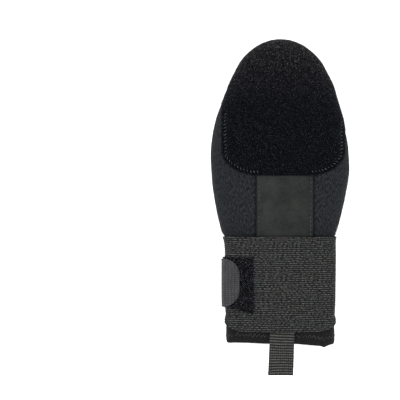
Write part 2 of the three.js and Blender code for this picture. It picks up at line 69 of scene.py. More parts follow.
# The mitt's sizes in mm, as in the part
MITT_LENGTH = 318
MITT_WIDTH = 144
MITT_DEPTH = 44
GAP = 0.3
SETTLE = 0.6
SHELL_WALL = 4
CAP_THICKNESS = 2.6
CAP_EDGE_THICKNESS = 1.2
CAP_WIDTH = 127
CAP_REACH = 143
CAP_CORNER_WIDTH = 38
CAP_CORNER_HEIGHT = 26
CAP_SHIFT = 2.2
CAP_SEAM_SHIFT = 3
PANEL_WIDTH = 58
PANEL_THICKNESS = 1
PANEL_SHIFT = 3.5
PANEL_TUCK = 7
WRAP_WIDTH = 100
WRAP_THICKNESS = 1.5
WRAP_TO_RIM = 12.4
WRAP_CURVE = 8
WRAP_START = 84
WRAP_END = 38
WRAP_TAPER = 30
STRAP_WIDTH = 50
STRAP_THICKNESS = 1.3
STRAP_TUCK = 7
STRAP_TONGUE = 21.5
STRAP_LEAN = 3
TONGUE_RADIUS = 17
PATCH_WIDTH = 57
PATCH_THICKNESS = 1.6
PATCH_START = 32
PATCH_REACH = 36.5
BINDING_WIDTH = 24
BINDING_INNER_WIDTH = 14
BINDING_THICKNESS = 1
TAB_WIDTH = 25.4
TAB_THICKNESS = 1
TAB_REACH = 31
TAB_SHIFT = 1.2
TAB_TUCK = 5
TAB_DROOP = 6
TAB_OPENING = 1.6

# How far the mitt's middle lies to the left of the cuff's, at distances from the fingertip
ASIDE = table("distance aside", [
    (0, -0.3),
    (35, -0.6),
    (53, -0.6),
    (61, 0.5),
    (70, 1.7),
    (79, 2.1),
    (88, 1.8),
    (103, 1.1),
    (120, 0.8),
    (132, 0.1),
    (144, 0.5),
    (161, 0.9),
    (178, 1.5),
    (190, 1.4),
    (203, 0.9),
    (215, 0),
])

# The shell's sections: a share of its length, and shares of the mitt's half width and of its depth
SECTIONS = table("along half low high", [
    (0, 0, 0.36, 0.36),
    (0.012, 0.243, 0.19, 0.53),
    (0.03, 0.377, 0.1, 0.63),
    (0.068, 0.544, 0.02, 0.75),
    (0.106, 0.6375, 0, 0.82),
    (0.146, 0.722, 0, 0.87),
    (0.184, 0.781, 0, 0.905),
    (0.223, 0.853, 0, 0.93),
    (0.262, 0.91, 0, 0.95),
    (0.3, 0.953, 0, 0.97),
    (0.342, 0.985, 0, 0.99),
    (0.39, 1, 0, 1),
    (0.45, 0.99, 0, 1),
    (0.5, 0.958, 0, 0.985),
    (0.54, 0.925, 0, 0.96),
    (0.58, 0.888, 0, 0.925),
    (0.615, 0.848, 0, 0.89),
    (0.638, 0.814, 0, 0.865),
    (0.656, 0.788, 0, 0.845),
    (0.69, 0.778, 0, 0.82),
    (0.8, 0.777, 0, 0.785),
    (0.87, 0.774, 0, 0.77),
    (0.92, 0.762, 0, 0.76),
    (0.985, 0.766, 0.006, 0.745),
    (1, 0.76, 0.03, 0.715),
])
TIP_POWER = 2.2  # how square the sections are: 2 is an ellipse
PALM_POWER = 2.6
POWER_BY = 0.3  # the share of the length by which they are as square as the palm

TIP_STEP = CAP_THICKNESS + GAP
RIM_STEP = BINDING_THICKNESS + GAP
SHELL_LENGTH = MITT_LENGTH - TIP_STEP - RIM_STEP
LAYER = WRAP_THICKNESS + GAP
CAP_LIFT = TIP_STEP - SETTLE  # the shell's height over the floor at the cap
CUFF_LIFT = 2 * LAYER + RIM_STEP - SETTLE  # and at the wrap, whose two layers lie under it
LIFT_FROM = 0.42  # the shares of the length between which the lift changes
LIFT_TO = 0.7
WRAP_LOW = SHELL_LENGTH + RIM_STEP - WRAP_TO_RIM
WRAP_HIGH = WRAP_LOW - WRAP_WIDTH
WRAP_MIDDLE = (WRAP_LOW + WRAP_HIGH) / 2
CAP_END = CAP_REACH - TIP_STEP
PANEL_START = CAP_END - PANEL_TUCK
PANEL_END = WRAP_HIGH + PANEL_TUCK
BINDING_START = SHELL_LENGTH + RIM_STEP - BINDING_WIDTH
BINDING_INNER_START = SHELL_LENGTH + RIM_STEP - BINDING_INNER_WIDTH
TAB_START = WRAP_LOW - TAB_TUCK
DRAPE = 6  # the width of a layer's slope down from an edge that it lies on
DRAPE_MARGIN = 2  # how far beside the edge the slope starts
UP = math.pi / 2
DOWN = 3 * math.pi / 2

# The frame's fingertip, which the shell's skin starts from
SHELL_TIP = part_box("mitt_shell")[1][1] / MM


def smooth(x):
    x = np.clip(x, 0, 1)
    return x * x * (3 - 2 * x)


def ramp(x, start, end):
    return smooth((x - start) / (end - start))


def mix(a, b, t):
    return a + (b - a) * t


def crest(x, width):
    """1 where x is 0, with a smooth fall to both sides."""
    return np.exp(-((x / width) ** 2))


def unit(vectors):
    return vectors / np.maximum(np.linalg.norm(vectors, axis=-1, keepdims=True), 1e-9)


def run_of(line):
    """How far along a line each of its points lies."""
    return np.concatenate([[0], np.cumsum(np.linalg.norm(np.diff(line, axis=0), axis=1))])


def raised(places, least=0):
    """Places, none of them lower than least."""
    places[..., 2] = np.maximum(places[..., 2], least)
    return places


def bisect(near, far, before, steps):
    """The ends of the narrow stretch in which a test that holds at near stops holding."""
    for _ in range(steps):
        middle = (near + far) / 2
        held = before(middle)
        near = np.where(held, middle, near)
        far = np.where(held, far, middle)
    return near, far


ROOTS = np.sqrt(SECTIONS["along"])


def column(name, root):
    """A column of SECTIONS at the root of a share of the length, as a smooth curve."""
    rows = SECTIONS[name]
    index = np.arange(len(rows))
    before, after = np.maximum(index - 1, 0), np.minimum(index + 1, len(rows) - 1)
    slopes = (rows[after] - rows[before]) / (ROOTS[after] - ROOTS[before])
    i = np.clip(np.searchsorted(ROOTS, root) - 1, 0, len(rows) - 2)
    width = ROOTS[i + 1] - ROOTS[i]
    t = np.clip((root - ROOTS[i]) / width, 0, 1)
    return (
        (2 * t**3 - 3 * t**2 + 1) * rows[i]
        + (t**3 - 2 * t**2 + t) * slopes[i] * width
        + (3 * t**2 - 2 * t**3) * rows[i + 1]
        + (t**3 - t**2) * slopes[i + 1] * width
    )


def signed_power(x, power):
    return np.sign(x) * np.abs(x) ** power


# The middle line at each whole mm, with the table's corners rounded over a short stretch
ASIDE_ROUND = 7
ASIDE_SPARE = 12
aside_places = np.arange(-float(ASIDE_SPARE), SHELL_LENGTH + ASIDE_SPARE)
aside_steps = np.pad(np.interp(aside_places, ASIDE["distance"], ASIDE["aside"]), ASIDE_ROUND, "edge")
aside_weights = np.hanning(2 * ASIDE_ROUND + 1)
aside_curve = np.convolve(aside_steps, aside_weights / aside_weights.sum(), "valid")


def skin_at(root, turn):
    """A point of the shell's skin, at the root of a share of its length and a turn round it."""
    share = root * root
    half = column("half", root) * MITT_WIDTH / 2
    lift = mix(CAP_LIFT, CUFF_LIFT, ramp(share, LIFT_FROM, LIFT_TO))
    low = lift + column("low", root) * MITT_DEPTH
    high = lift + column("high", root) * MITT_DEPTH
    power = 2 / mix(TIP_POWER, PALM_POWER, smooth(share / POWER_BY))
    distance = share * SHELL_LENGTH
    aside = np.interp(distance, aside_places, aside_curve)
    return np.stack(
        [
            half * signed_power(np.cos(turn), power) - aside,
            SHELL_TIP - distance + 0 * turn,
            (low + high) / 2 + (high - low) / 2 * signed_power(np.sin(turn), power),
        ],
        -1,
    )


def roots_and_turns(distance, turn):
    """The roots of distances' shares of the shell's length, and turns in the same shape."""
    distance, turn = np.broadcast_arrays(np.asarray(distance, float), np.asarray(turn, float))
    return np.sqrt(np.maximum(distance, 0) / SHELL_LENGTH), turn


def skin(distance, turn):
    """A point of the shell's skin. distance runs along the mitt from the shell's fingertip."""
    return skin_at(*roots_and_turns(distance, turn))


# The steps over which the skin's slope is measured
ROOT_STEP = 0.002
TURN_STEP = 0.01


def skin_normal(distance, turn):
    root, turn = roots_and_turns(distance, turn)
    down = skin_at(root + ROOT_STEP, turn) - skin_at(np.maximum(root - ROOT_STEP, 0), turn)
    across = skin_at(root, turn + TURN_STEP) - skin_at(root, turn - TURN_STEP)
    return np.where(root[..., None] < ROOT_STEP, [0.0, 1.0, 0.0], unit(np.cross(across, down)))


def over(distance, turn, offset):
    """A point at an offset outwards from the skin."""
    return skin(distance, turn) + skin_normal(distance, turn) * np.asarray(offset)[..., None]


# Arc lengths round the cuff, from the -X edge over the lower face
ARC_STEPS = 720
arc_turns = math.pi + TAU * np.arange(ARC_STEPS + 1) / ARC_STEPS
ARC = run_of(skin(WRAP_MIDDLE, arc_turns))
GIRTH = ARC[-1]


def turn_at(arc):
    """The turn at an arc length round the cuff, which may run on past a whole lap."""
    laps = np.floor(np.asarray(arc) / GIRTH)
    rest = arc - laps * GIRTH
    return math.pi + TAU * (laps + np.interp(rest, ARC, np.arange(ARC_STEPS + 1)) / ARC_STEPS)


def turn_for_x(distance, x, middle):
    """The turn at which a section has a given x, on the upper or the lower face."""
    near = np.full(np.broadcast(distance, x).shape, middle - UP)
    far = near + math.pi
    rising = skin(distance, near)[..., 0] < skin(distance, far)[..., 0]
    near, far = bisect(near, far, lambda turn: (skin(distance, turn)[..., 0] < x) == rising, 30)
    return (near + far) / 2


def drape(distance, turn):
    """How far a layer is lifted off the skin by the edges that it lies on."""
    x = skin(distance, turn)[..., 0]
    face = np.sign(np.sin(turn))
    reach = PANEL_WIDTH / 2 + DRAPE_MARGIN
    beside = 1 - ramp(np.abs(x - PANEL_SHIFT * face), reach, reach + DRAPE)
    first, last = PANEL_START - DRAPE_MARGIN, PANEL_END + DRAPE_MARGIN
    within = ramp(distance, first - DRAPE, first) * (1 - ramp(distance, last, last + DRAPE))
    panel = (PANEL_THICKNESS + GAP) * beside * within
    edge = BINDING_START - DRAPE_MARGIN
    binding = (BINDING_THICKNESS + GAP) * ramp(distance, edge - DRAPE, edge)
    reach = TAB_WIDTH / 2 + DRAPE_MARGIN
    beside = 1 - ramp(np.abs(x - TAB_SHIFT), reach, reach + DRAPE)
    edge = TAB_START - DRAPE_MARGIN
    tab = (TAB_THICKNESS + GAP) * beside * (face > 0) * ramp(distance, edge - DRAPE, edge)
    return panel + binding + tab


NOISE_SIZE = 256


def cloth_noise(u, v, seed):
    """Smooth random unevenness from -1 to 1, with one swell to each unit of u and v."""
    heights = np.random.default_rng(seed).uniform(-1, 1, (NOISE_SIZE, NOISE_SIZE))
    i, j = np.floor(u).astype(int), np.floor(v).astype(int)
    across, along = smooth(u - i), smooth(v - j)
    rows, columns = (i % NOISE_SIZE, (i + 1) % NOISE_SIZE), (j % NOISE_SIZE, (j + 1) % NOISE_SIZE)
    near, far = (mix(heights[rows[0], column], heights[rows[1], column], across) for column in columns)
    return mix(near, far, along)


# The cloths' unevenness: its height, its length both ways and its seed
UNEVEN = {
    "crease": (0.13, 1.2, 4.2, 1),
    "small_dent": (0.3, 9, 11, 2),
    "wide_dent": (0.35, 25, 30, 3),
    "small_panel_dent": (0.2, 11, 13, 4),
    "wide_panel_dent": (0.25, 25, 30, 5),
    "elastic_wave": (0.35, 18, 26, 7),
    "patch_lump": (0.16, 0.9, 0.9, 9),
    "hem_pucker": (0.16, 5, 6, 10),
    "rib_shift": (0.45, 13, 7, 12),
}


def uneven(kind, u, v):
    height, across, along, seed = UNEVEN[kind]
    return height * cloth_noise(u / across, v / along, seed)


def distances_to(line, places):
    """How far each place is from the nearest point of a line."""
    tree = kdtree.KDTree(len(line))
    for i, point in enumerate(line):
        tree.insert(point, i)
    tree.balance()
    found = [tree.find(place)[2] for place in places.reshape(-1, 3)]
    return np.array(found).reshape(places.shape[:-1])


# The cuff's rim isn't even: at x its edge hangs this much lower than a straight one
RIM_HANG = table("x hang", [
    (-57, -1.0),
    (-47, -2.2),
    (-34, -2.3),
    (-12, -1.5),
    (17, -1.2),
    (31, 0.2),
    (41, 1.2),
    (45, 2.8),
    (48, 1.3),
    (52, 0.2),
    (57, 0.2),
])


def hung(places, distance):
    """Places near the rim, moved along with its uneven edge."""
    hang = np.interp(places[..., 0], RIM_HANG["x"], RIM_HANG["hang"])
    moved = places.copy()
    moved[..., 1] -= hang * ramp(distance, BINDING_START, SHELL_LENGTH - 2)
    return moved


# Meshes


def grid(rows, columns, ring=False, start=0):
    """Quads of a grid of points, and the grid indices of their corners before they wrap."""
    r, c = np.meshgrid(np.arange(rows - 1), np.arange(columns if ring else columns - 1), indexing="ij")
    r, c = r.ravel(), c.ravel()
    corners = np.stack([np.stack([r, c], -1), np.stack([r, c + 1], -1)], 1)
    corners = np.concatenate([corners, corners[:, ::-1] + [1, 0]], 1)
    return start + corners[..., 0] * columns + corners[..., 1] % columns, corners


def signed_volume(points, faces):
    total = 0.0
    for face in faces:
        a = points[face[:, 0]]
        for k in range(1, face.shape[1] - 1):
            b, c = points[face[:, k]], points[face[:, k + 1]]
            total += np.einsum("ij,ij->i", a, np.cross(b, c)).sum()
    return total


def placed(name, data):
    """An object in the scene with a mesh, a light or a camera."""
    made = bpy.data.objects.new(name, data)
    bpy.context.scene.collection.objects.link(made)
    return made


def make(name, points, faces, material, uvs=()):
    """A mesh piece from points in mm, and from lists of faces with as many corners each."""
    points = np.asarray(points, float).reshape(-1, 3)
    if signed_volume(points - points.mean(0), faces) < 0:
        faces = [face[:, ::-1] for face in faces]
        uvs = [uv[:, ::-1] for uv in uvs]
    mesh = bpy.data.meshes.new(name)
    mesh.vertices.add(len(points))
    mesh.vertices.foreach_set("co", (points * MM).astype(np.float32).ravel())
    sizes = np.concatenate([np.full(len(face), face.shape[1]) for face in faces])
    corners = np.concatenate([face.ravel() for face in faces])
    mesh.loops.add(len(corners))
    mesh.loops.foreach_set("vertex_index", corners.astype(np.int32))
    mesh.polygons.add(len(sizes))
    mesh.polygons.foreach_set("loop_start", np.concatenate([[0], np.cumsum(sizes)[:-1]]).astype(np.int32))
    mesh.polygons.foreach_set("use_smooth", np.ones(len(sizes), bool))
    if len(uvs):
        flat = np.concatenate([uv.reshape(-1, 2) for uv in uvs])
        layer = mesh.uv_layers.new(name="cloth")
        layer.data.foreach_set("uv", (flat * MM).astype(np.float32).ravel())
    mesh.update(calc_edges=True)
    mesh.validate()
    mesh.materials.append(material)
    piece = placed(name, mesh)
    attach(piece, "root")
    return piece


def capsule_piece(name, rings, material, first, last, uv=()):
    """Closed rings lofted one to the next, and closed by a point at each end."""
    count, around = rings.shape[:2]
    points = np.concatenate([[first], rings.reshape(-1, 3), [last]])
    quads, corners = grid(count, around, ring=True, start=1)
    i = np.arange(around)
    top = np.stack([np.zeros(around, int), 1 + (i + 1) % around, 1 + i], -1)
    base = 1 + (count - 1) * around
    bottom = np.stack([np.full(around, len(points) - 1), base + i, base + (i + 1) % around], -1)
    uvs = []
    if len(uv):
        weave = np.stack(uv, -1)
        ends = [np.tile(weave[row, 0], (around, 3, 1)) for row in (0, -1)]
        uvs = [weave[corners[..., 0], corners[..., 1]], *ends]
    return make(name, points, [quads, top, bottom], material, uvs)


def ring_piece(name, sections, material):
    """Closed sections lofted one to the next, all the way round."""
    count, around = sections.shape[:2]
    _, corners = grid(count + 1, around, ring=True)
    quads = (corners[..., 0] % count) * around + corners[..., 1] % around
    return make(name, sections, [quads], material)


def bridge(outer, inner):
    """Triangles that close the end between two rows of points, which may differ in number."""
    nearest = np.rint(np.arange(len(outer)) * (len(inner) - 1) / (len(outer) - 1)).astype(int)
    fans = np.stack([outer[1:], outer[:-1], inner[nearest[:-1]]], -1)
    steps = np.flatnonzero(np.diff(nearest))
    wedges = np.stack([outer[steps + 1], inner[nearest[steps]], inner[nearest[steps] + 1]], -1)
    return np.concatenate([fans, wedges])


def cloth_piece(name, outer, inner, material, outer_uv, inner_uv):
    """A cloth with a finely cut outer face, and an inner face with as many rows but fewer columns."""
    rows, a = outer.shape[:2]
    b = inner.shape[1]
    start = rows * a
    front, _ = grid(rows, a)
    back, _ = grid(rows, b, start=start)
    r = np.arange(rows - 1)
    sides = [
        np.stack([r * a, (r + 1) * a, start + (r + 1) * b, start + r * b], -1),
        np.stack([(r + 2) * a - 1, (r + 1) * a - 1, start + (r + 1) * b - 1, start + (r + 2) * b - 1], -1),
    ]
    columns = np.arange(a), start + np.arange(b)
    top = bridge(*columns)
    bottom = bridge(columns[0] + (rows - 1) * a, columns[1] + (rows - 1) * b)[:, ::-1]
    uv = np.concatenate([np.stack(outer_uv, -1).reshape(-1, 2), np.stack(inner_uv, -1).reshape(-1, 2)])
    faces = [front, back[:, ::-1], *sides, top, bottom]
    points = np.concatenate([outer.reshape(-1, 3), inner.reshape(-1, 3)])
    return make(name, points, faces, material, [uv[face] for face in faces])


def slab_heights(under, above, inset):
    """The two faces of a cloth whose edge is rounded. inset is the distance to its edge."""
    middle, half = (under + above) / 2, (above - under) / 2
    share = np.clip(inset / np.maximum(half, 1e-6), 0, 1)
    bulge = np.maximum(np.sqrt(1 - (1 - share) ** 2), 0.12)
    return middle - half * bulge, middle + half * bulge


def edged(count, length, radius):
    """Distances over a length, with more of them in the rounded part at each end."""
    edge = radius * np.array([0, 0.06, 0.25, 0.6, 1])
    inner = np.linspace(radius, length - radius, count)[1:-1]
    return np.concatenate([edge, inner, length - edge[::-1]])


BACK_ROWS = 16  # how finely a strip's inner face is cut across
OFF_FLOOR = 0.02


def strip_piece(name, shape, material, rows, relief, across=lambda arc, distance: distance):
    """A cloth strip round the cuff. Its shape is its arcs, a function for the ends of a station
    across it, one for its height over the skin, and its thickness. across places its weave on it."""
    arcs, edges, under, thickness = shape
    start, end = edges(arcs)

    def face(shares):
        distance = start[:, None] + (end - start)[:, None] * shares
        arc = np.broadcast_to(arcs[:, None], distance.shape)
        inset = np.minimum(distance - distance[:, :1], distance[:, -1:] - distance)
        inset = np.minimum(inset, np.minimum(arc - arcs[0], arcs[-1] - arc))
        turn = turn_at(arc)
        low = under(arc, distance, turn)
        return arc, distance, turn, inset, slab_heights(low, low + thickness, inset)

    arc, distance, turn, inset, (_, high) = face(edged(rows, 1, 0.01))
    outer = raised(over(distance, turn, high + relief(arc, distance, inset) * smooth(inset)))
    back_arc, back_distance, turn, _, (low, _) = face(edged(BACK_ROWS, 1, 0.01))
    inner = raised(over(back_distance, turn, low), OFF_FLOOR)
    uvs = (arc, across(arc, distance)), (back_arc, across(back_arc, back_distance))
    return cloth_piece(name, outer, inner, material, *uvs)


def cut_length(arcs, under, thickness):
    """How long a strip round the wrist is along its own middle."""
    distance = np.full(arcs.shape, WRAP_MIDDLE)
    turn = turn_at(arcs)
    return float(run_of(over(distance, turn, under(arcs, distance, turn) + thickness / 2))[-1])


THREAD_SIDES = 6
THREAD_STATIONS = np.array([0, 0.12, 0.35, 0.65, 0.88, 1])
THREAD_WIDTHS = np.array([0.45, 0.85, 1, 1, 0.85, 0.45])
THREAD_SINK = 0.35


def threads(name, starts, ends, ups, radius, material, arch=1.0):
    """Short sewn stitches: bent threads from starts to ends, whose middle stands up off the cloth
    by arch times their radius."""
    length = np.linalg.norm(ends - starts, axis=-1, keepdims=True)
    along = unit(ends - starts)
    side = unit(np.cross(ups, along))
    up = np.cross(along, side)
    lift = radius * (arch * np.sin(math.pi * THREAD_STATIONS) - THREAD_SINK)
    angle = TAU * np.arange(THREAD_SIDES) / THREAD_SIDES
    run = length[:, None] * THREAD_STATIONS[:, None]
    centre = starts[:, None] + along[:, None] * run + up[:, None] * lift[:, None]
    ring = side[:, None, None] * np.cos(angle)[:, None] + up[:, None, None] * np.sin(angle)[:, None]
    points = centre[:, :, None] + ring * (radius * THREAD_WIDTHS)[:, None, None]
    points[..., 2] += np.maximum(-points[..., 2].min((1, 2)), 0)[:, None, None]
    per = len(THREAD_STATIONS) * THREAD_SIDES
    quads, _ = grid(len(THREAD_STATIONS), THREAD_SIDES, ring=True)
    i = np.arange(1, THREAD_SIDES - 1)
    cap = np.stack([0 * i, i, i + 1], -1)
    caps = np.concatenate([cap[:, ::-1], cap + per - THREAD_SIDES])
    shift = (np.arange(len(starts)) * per)[:, None, None]
    return make(name, points, [(quads + shift).reshape(-1, 4), (caps + shift).reshape(-1, 3)], material)


def pile(name, bases, normals, lengths, widths, lean, material, rng):
    """Short fibres, each a closed three-sided spike."""
    count = len(bases)
    away = rng.normal(size=(count, 3))
    away = unit(away - (away * normals).sum(-1, keepdims=True) * normals)
    side = np.cross(normals, away)
    direction = unit(normals + away * (lean * rng.random((count, 1))))
    angle = TAU * np.arange(3) / 3
    ring = away[:, None] * np.cos(angle)[:, None] + side[:, None] * np.sin(angle)[:, None]
    root = bases[:, None] + ring * (widths / 2)[:, None, None]
    tip = (bases + direction * lengths[:, None])[:, None]
    points = raised(np.concatenate([root, tip], 1))
    one = np.array([[0, 1, 3], [1, 2, 3], [2, 0, 3], [0, 2, 1]])
    faces = (one + (np.arange(count) * 4)[:, None, None]).reshape(-1, 3)
    return make(name, points, [faces], material)


def scatter(points, faces, weights, count, rng):
    """Random places on quads, even over their weighted area, with their normals."""
    first, second = points[faces[:, 2]] - points[faces[:, 0]], points[faces[:, 3]] - points[faces[:, 1]]
    normal = np.cross(first, second)
    area = np.linalg.norm(normal, axis=-1)
    chance = area * weights
    pick = rng.choice(len(faces), count, p=chance / chance.sum())
    s, t = rng.random((2, count, 1))
    corner = points[faces[pick]]
    place = mix(mix(corner[:, 0], corner[:, 1], s), mix(corner[:, 3], corner[:, 2], s), t)
    return place, normal[pick] / area[pick][:, None]


# Materials

# A colour's share that its material keeps, because the stage is lit brightly enough to whiten its floor
KEPT = 0.289
WRAP_SHADE_LENGTH = 20  # the length before the wrap over which the shell and its panels have painted shade, darker towards the wrap
# The colour's share kept at the wrap's edge, under the painted shade
WRAP_SHADE_TONE = 0.7
TIP_HIGHLIGHT_LENGTH = 70  # the length from the fingertips over which the cap's nap has a painted highlight, lighter towards the tip


def rgb(red, green, blue):
    """The linear colour of cloth that is seen as one of 0 to 255 in this light."""
    seen = np.array([red, green, blue]) / 255
    return (*(KEPT * np.where(seen <= 0.04, seen / 12.92, ((seen + 0.055) / 1.055) ** 2.4)), 1)


class Nodes:
    """A material's node tree, with short ways to add nodes to it."""

    def __init__(self, name, color, roughness, specular, sheen):
        self.material = bpy.data.materials.new(name)
        self.material.use_nodes = True
        self.tree = self.material.node_tree
        self.shader = self.tree.nodes["Principled BSDF"]
        self.shader.inputs["Base Color"].default_value = color
        self.shader.inputs["Roughness"].default_value = roughness
        self.shader.inputs["Specular IOR Level"].default_value = specular
        self.shader.inputs["Sheen Weight"].default_value = sheen
        self.shader.inputs["Sheen Roughness"].default_value = 0.5
        self.normal = None

    def set(self, socket, value):
        if isinstance(value, bpy.types.NodeSocket):
            self.tree.links.new(value, socket)
        else:
            socket.default_value = value

    def add(self, kind, inputs=None, **values):
        node = self.tree.nodes.new(kind)
        for key, value in values.items():
            setattr(node, key, value)
        for key, value in (inputs or {}).items():
            self.set(node.inputs[key], value)
        return node

    def place(self):
        return self.add("ShaderNodeTexCoord").outputs["Object"]

    def cloth_place(self, scale=(1, 1, 1), turn=0.0):
        """Metres across and along the cloth."""
        place = self.add("ShaderNodeUVMap", uv_map="cloth").outputs["UV"]
        inputs = {"Vector": place, "Scale": scale, "Rotation": (0, 0, turn)}
        return self.add("ShaderNodeMapping", inputs).outputs["Vector"]

    def axis(self, place, name):
        return self.add("ShaderNodeSeparateXYZ", {"Vector": place}).outputs[name]

    def spread(self, value, low, high, first=0.0):
        """A value spread so that low becomes first and high becomes 1."""
        inputs = {"Value": value, "From Min": low, "From Max": high, "To Min": first}
        return self.add("ShaderNodeMapRange", inputs, clamp=True).outputs["Result"]

    def noise(self, place, scale, detail, low=0.3, high=0.7):
        inputs = {"Vector": place, "Scale": scale, "Detail": detail, "Roughness": 0.6}
        return self.spread(self.add("ShaderNodeTexNoise", inputs).outputs["Fac"], low, high)

    def math(self, operation, *values):
        node = self.add("ShaderNodeMath", operation=operation)
        for socket, value in zip(node.inputs, values):
            self.set(socket, value)
        return node.outputs["Value"]

    def times(self, value, factor):
        return self.math("MULTIPLY", value, factor)

    def scaled(self, value, factor, added):
        return self.math("MULTIPLY_ADD", value, factor, added)

    def wave(self, axis, pitch, phase):
        """0 to 1 in even waves along the cloth's axis, with their crests at phase of a pitch."""
        turn = self.scaled(self.axis(self.cloth_place(), axis), TAU / (pitch * MM), -TAU * phase)
        return self.scaled(self.math("COSINE", turn), 0.5, 0.5)

    def blend(self, factor, low, high):
        node = self.add("ShaderNodeMix", data_type="RGBA")
        for key, value in (("Factor", factor), ("A", low), ("B", high)):
            self.set(next(s for s in node.inputs if s.name == key and s.enabled), value)
        return next(s for s in node.outputs if s.enabled)

    def shaded_by_wrap(self, color):
        """The colour with painted shade, darker in the last part before the wrap's upper edge."""
        end = (SHELL_TIP - WRAP_HIGH) * MM
        kept = self.spread(self.axis(self.place(), "Y"), end, end + WRAP_SHADE_LENGTH * MM, WRAP_SHADE_TONE)
        return self.blend(kept, (0, 0, 0, 1), color)

    def color(self, value):
        self.tree.links.new(value, self.shader.inputs["Base Color"])

    def bump(self, value, height, strength=1.0):
        inputs = {"Height": value, "Distance": height * MM, "Strength": strength}
        if self.normal is not None:
            inputs["Normal"] = self.normal
        self.normal = self.add("ShaderNodeBump", inputs).outputs["Normal"]
        self.tree.links.new(self.normal, self.shader.inputs["Normal"])


def neoprene_material():
    m = Nodes("jersey_neoprene", rgb(38, 39, 44), roughness=0.85, specular=0.07, sheen=0.02)
    creases = m.noise(m.cloth_place((1, 0.32, 1), turn=-0.32), 900, 1, 0.4, 0.6)
    grain = m.noise(m.place(), 900, 2)
    shown = m.scaled(creases, 0.65, m.times(grain, 0.35))
    m.color(m.shaded_by_wrap(m.blend(shown, rgb(6, 8, 12), rgb(60, 63, 69))))
    m.bump(creases, 0.5, 0.7)
    m.bump(grain, 0.3, 0.5)
    return m.material


def smooth_panel_material():
    m = Nodes("smooth_panel", rgb(46, 49, 47), roughness=0.65, specular=0.1, sheen=0.0)
    cloud = m.noise(m.place(), 45, 4, 0.35, 0.65)
    grain = m.noise(m.place(), 900, 2)
    shown = m.scaled(cloud, 0.5, m.times(grain, 0.5))
    m.color(m.shaded_by_wrap(m.blend(shown, rgb(4, 8, 7), rgb(62, 66, 63))))
    m.bump(grain, 0.15, 0.5)
    return m.material


def napped_material(name, dark, light, sheen, scale, lit_tip=None):
    """The last argument is the light tone at the fingertips, a painted highlight where light falls on the
    nap's top.
    """
    m = Nodes(name, dark, roughness=0.95, specular=0.02, sheen=sheen)
    if lit_tip is not None:
        tip = CAD_BOX[1][1]
        light = m.blend(m.spread(m.axis(m.place(), "Y"), tip - TIP_HIGHLIGHT_LENGTH * MM, tip), light, lit_tip)
    # The noise's light speckles are partly the nap's own random tone and partly painted glints on its
    # fibres
    m.color(m.blend(m.noise(m.place(), scale, 0, 0.5, 0.72), dark, light))
    return m.material


def elastic_material():
    m = Nodes("ribbed_elastic", rgb(56, 57, 56), roughness=0.8, specular=0.06, sheen=0.01)
    place = m.cloth_place()
    row = m.math("FLOOR", m.times(m.axis(place, "Y"), 1 / (RIB_PITCH * MM)))
    start = m.add("ShaderNodeTexWhiteNoise", {"W": row}, noise_dimensions="1D").outputs["Value"]
    turn = m.scaled(m.axis(place, "X"), TAU / (DASH_LENGTH * MM), m.times(start, TAU))
    even = m.scaled(m.math("COSINE", turn), 0.18, 0.17)
    # Painted shade: the colour is darker in the valleys between the ribs. The dashes and flecks are the
    # knit's own tone
    rib = m.wave("Y", RIB_PITCH, 0.5)
    dash = m.scaled(m.noise(m.cloth_place((1, 1.5, 1)), 460, 2, 0.4, 0.6), 0.8, even)
    fleck = m.noise(m.cloth_place((1, 1.2, 1)), 560, 1, 0.38, 0.48)
    cloud = m.noise(m.place(), 60, 4, 0.35, 0.65)
    thread = m.scaled(m.times(rib, dash), 0.98, 0.04)
    shown = m.times(thread, m.scaled(fleck, 0.8, 0.2))
    tint = m.blend(cloud, rgb(119, 115, 115), rgb(111, 117, 114))
    m.color(m.blend(shown, rgb(6, 7, 7), tint))
    m.bump(m.noise(m.cloth_place((1, 0.7, 1)), 900, 2), 0.3, 0.6)
    return m.material


def tape_material():
    m = Nodes("hook_tape", rgb(70, 70, 72), roughness=0.7, specular=0.1, sheen=0.02)
    hooks = m.times(m.wave("X", HOOK_SPACING, 0.0), m.wave("Y", HOOK_PITCH, 0.0))
    speck = m.noise(m.place(), 1400, 1, 0.38, 0.62)
    cloud = m.noise(m.cloth_place((1, 0.4, 1)), 110, 3)
    shown = m.scaled(cloud, 0.25, m.scaled(hooks, 0.35, m.times(speck, 0.45)))
    m.color(m.blend(shown, rgb(6, 6, 8), rgb(110, 110, 114)))
    m.bump(speck, 0.3, 0.6)
    return m.material


def webbing_material():
    m = Nodes("pull_tab_webbing", rgb(60, 60, 57), roughness=0.75, specular=0.12, sheen=0.02)
    # Painted shade: the colour is darker in the grooves between the ribs, which the relief also has
    rib = m.math("POWER", m.wave("Y", TAB_RIB_PITCH, 0.5), 1.4)
    strand = m.noise(m.cloth_place((1, 0.9, 1)), 720, 2, 0.38, 0.6)
    yarn = m.scaled(strand, 0.65, m.scaled(m.wave("X", TAB_YARN_PITCH, 0.0), 0.85, -0.05))
    cloud = m.noise(m.cloth_place(), 130, 2, 0.35, 0.65)
    shown = m.times(m.scaled(cloud, 0.25, 0.8), m.times(rib, yarn))
    m.color(m.blend(shown, rgb(2, 2, 2), rgb(122, 122, 118)))
    m.bump(strand, 0.3, 0.6)
    return m.material


def plain_cloth_material(name, dark, light, roughness, scale):
    m = Nodes(name, dark, roughness, specular=0.1, sheen=0.02)
    grain = m.noise(m.place(), scale, 3)
    m.color(m.blend(grain, dark, light))
    m.bump(grain, 0.2, 0.6)
    return m.material


# The weaves' pitches in mm
RIB_PITCH = 2.2
DASH_LENGTH = 4.7
HOOK_SPACING = 3.1
HOOK_PITCH = 2.1
TAB_RIB_PITCH = 2.83
TAB_YARN_PITCH = 2.1

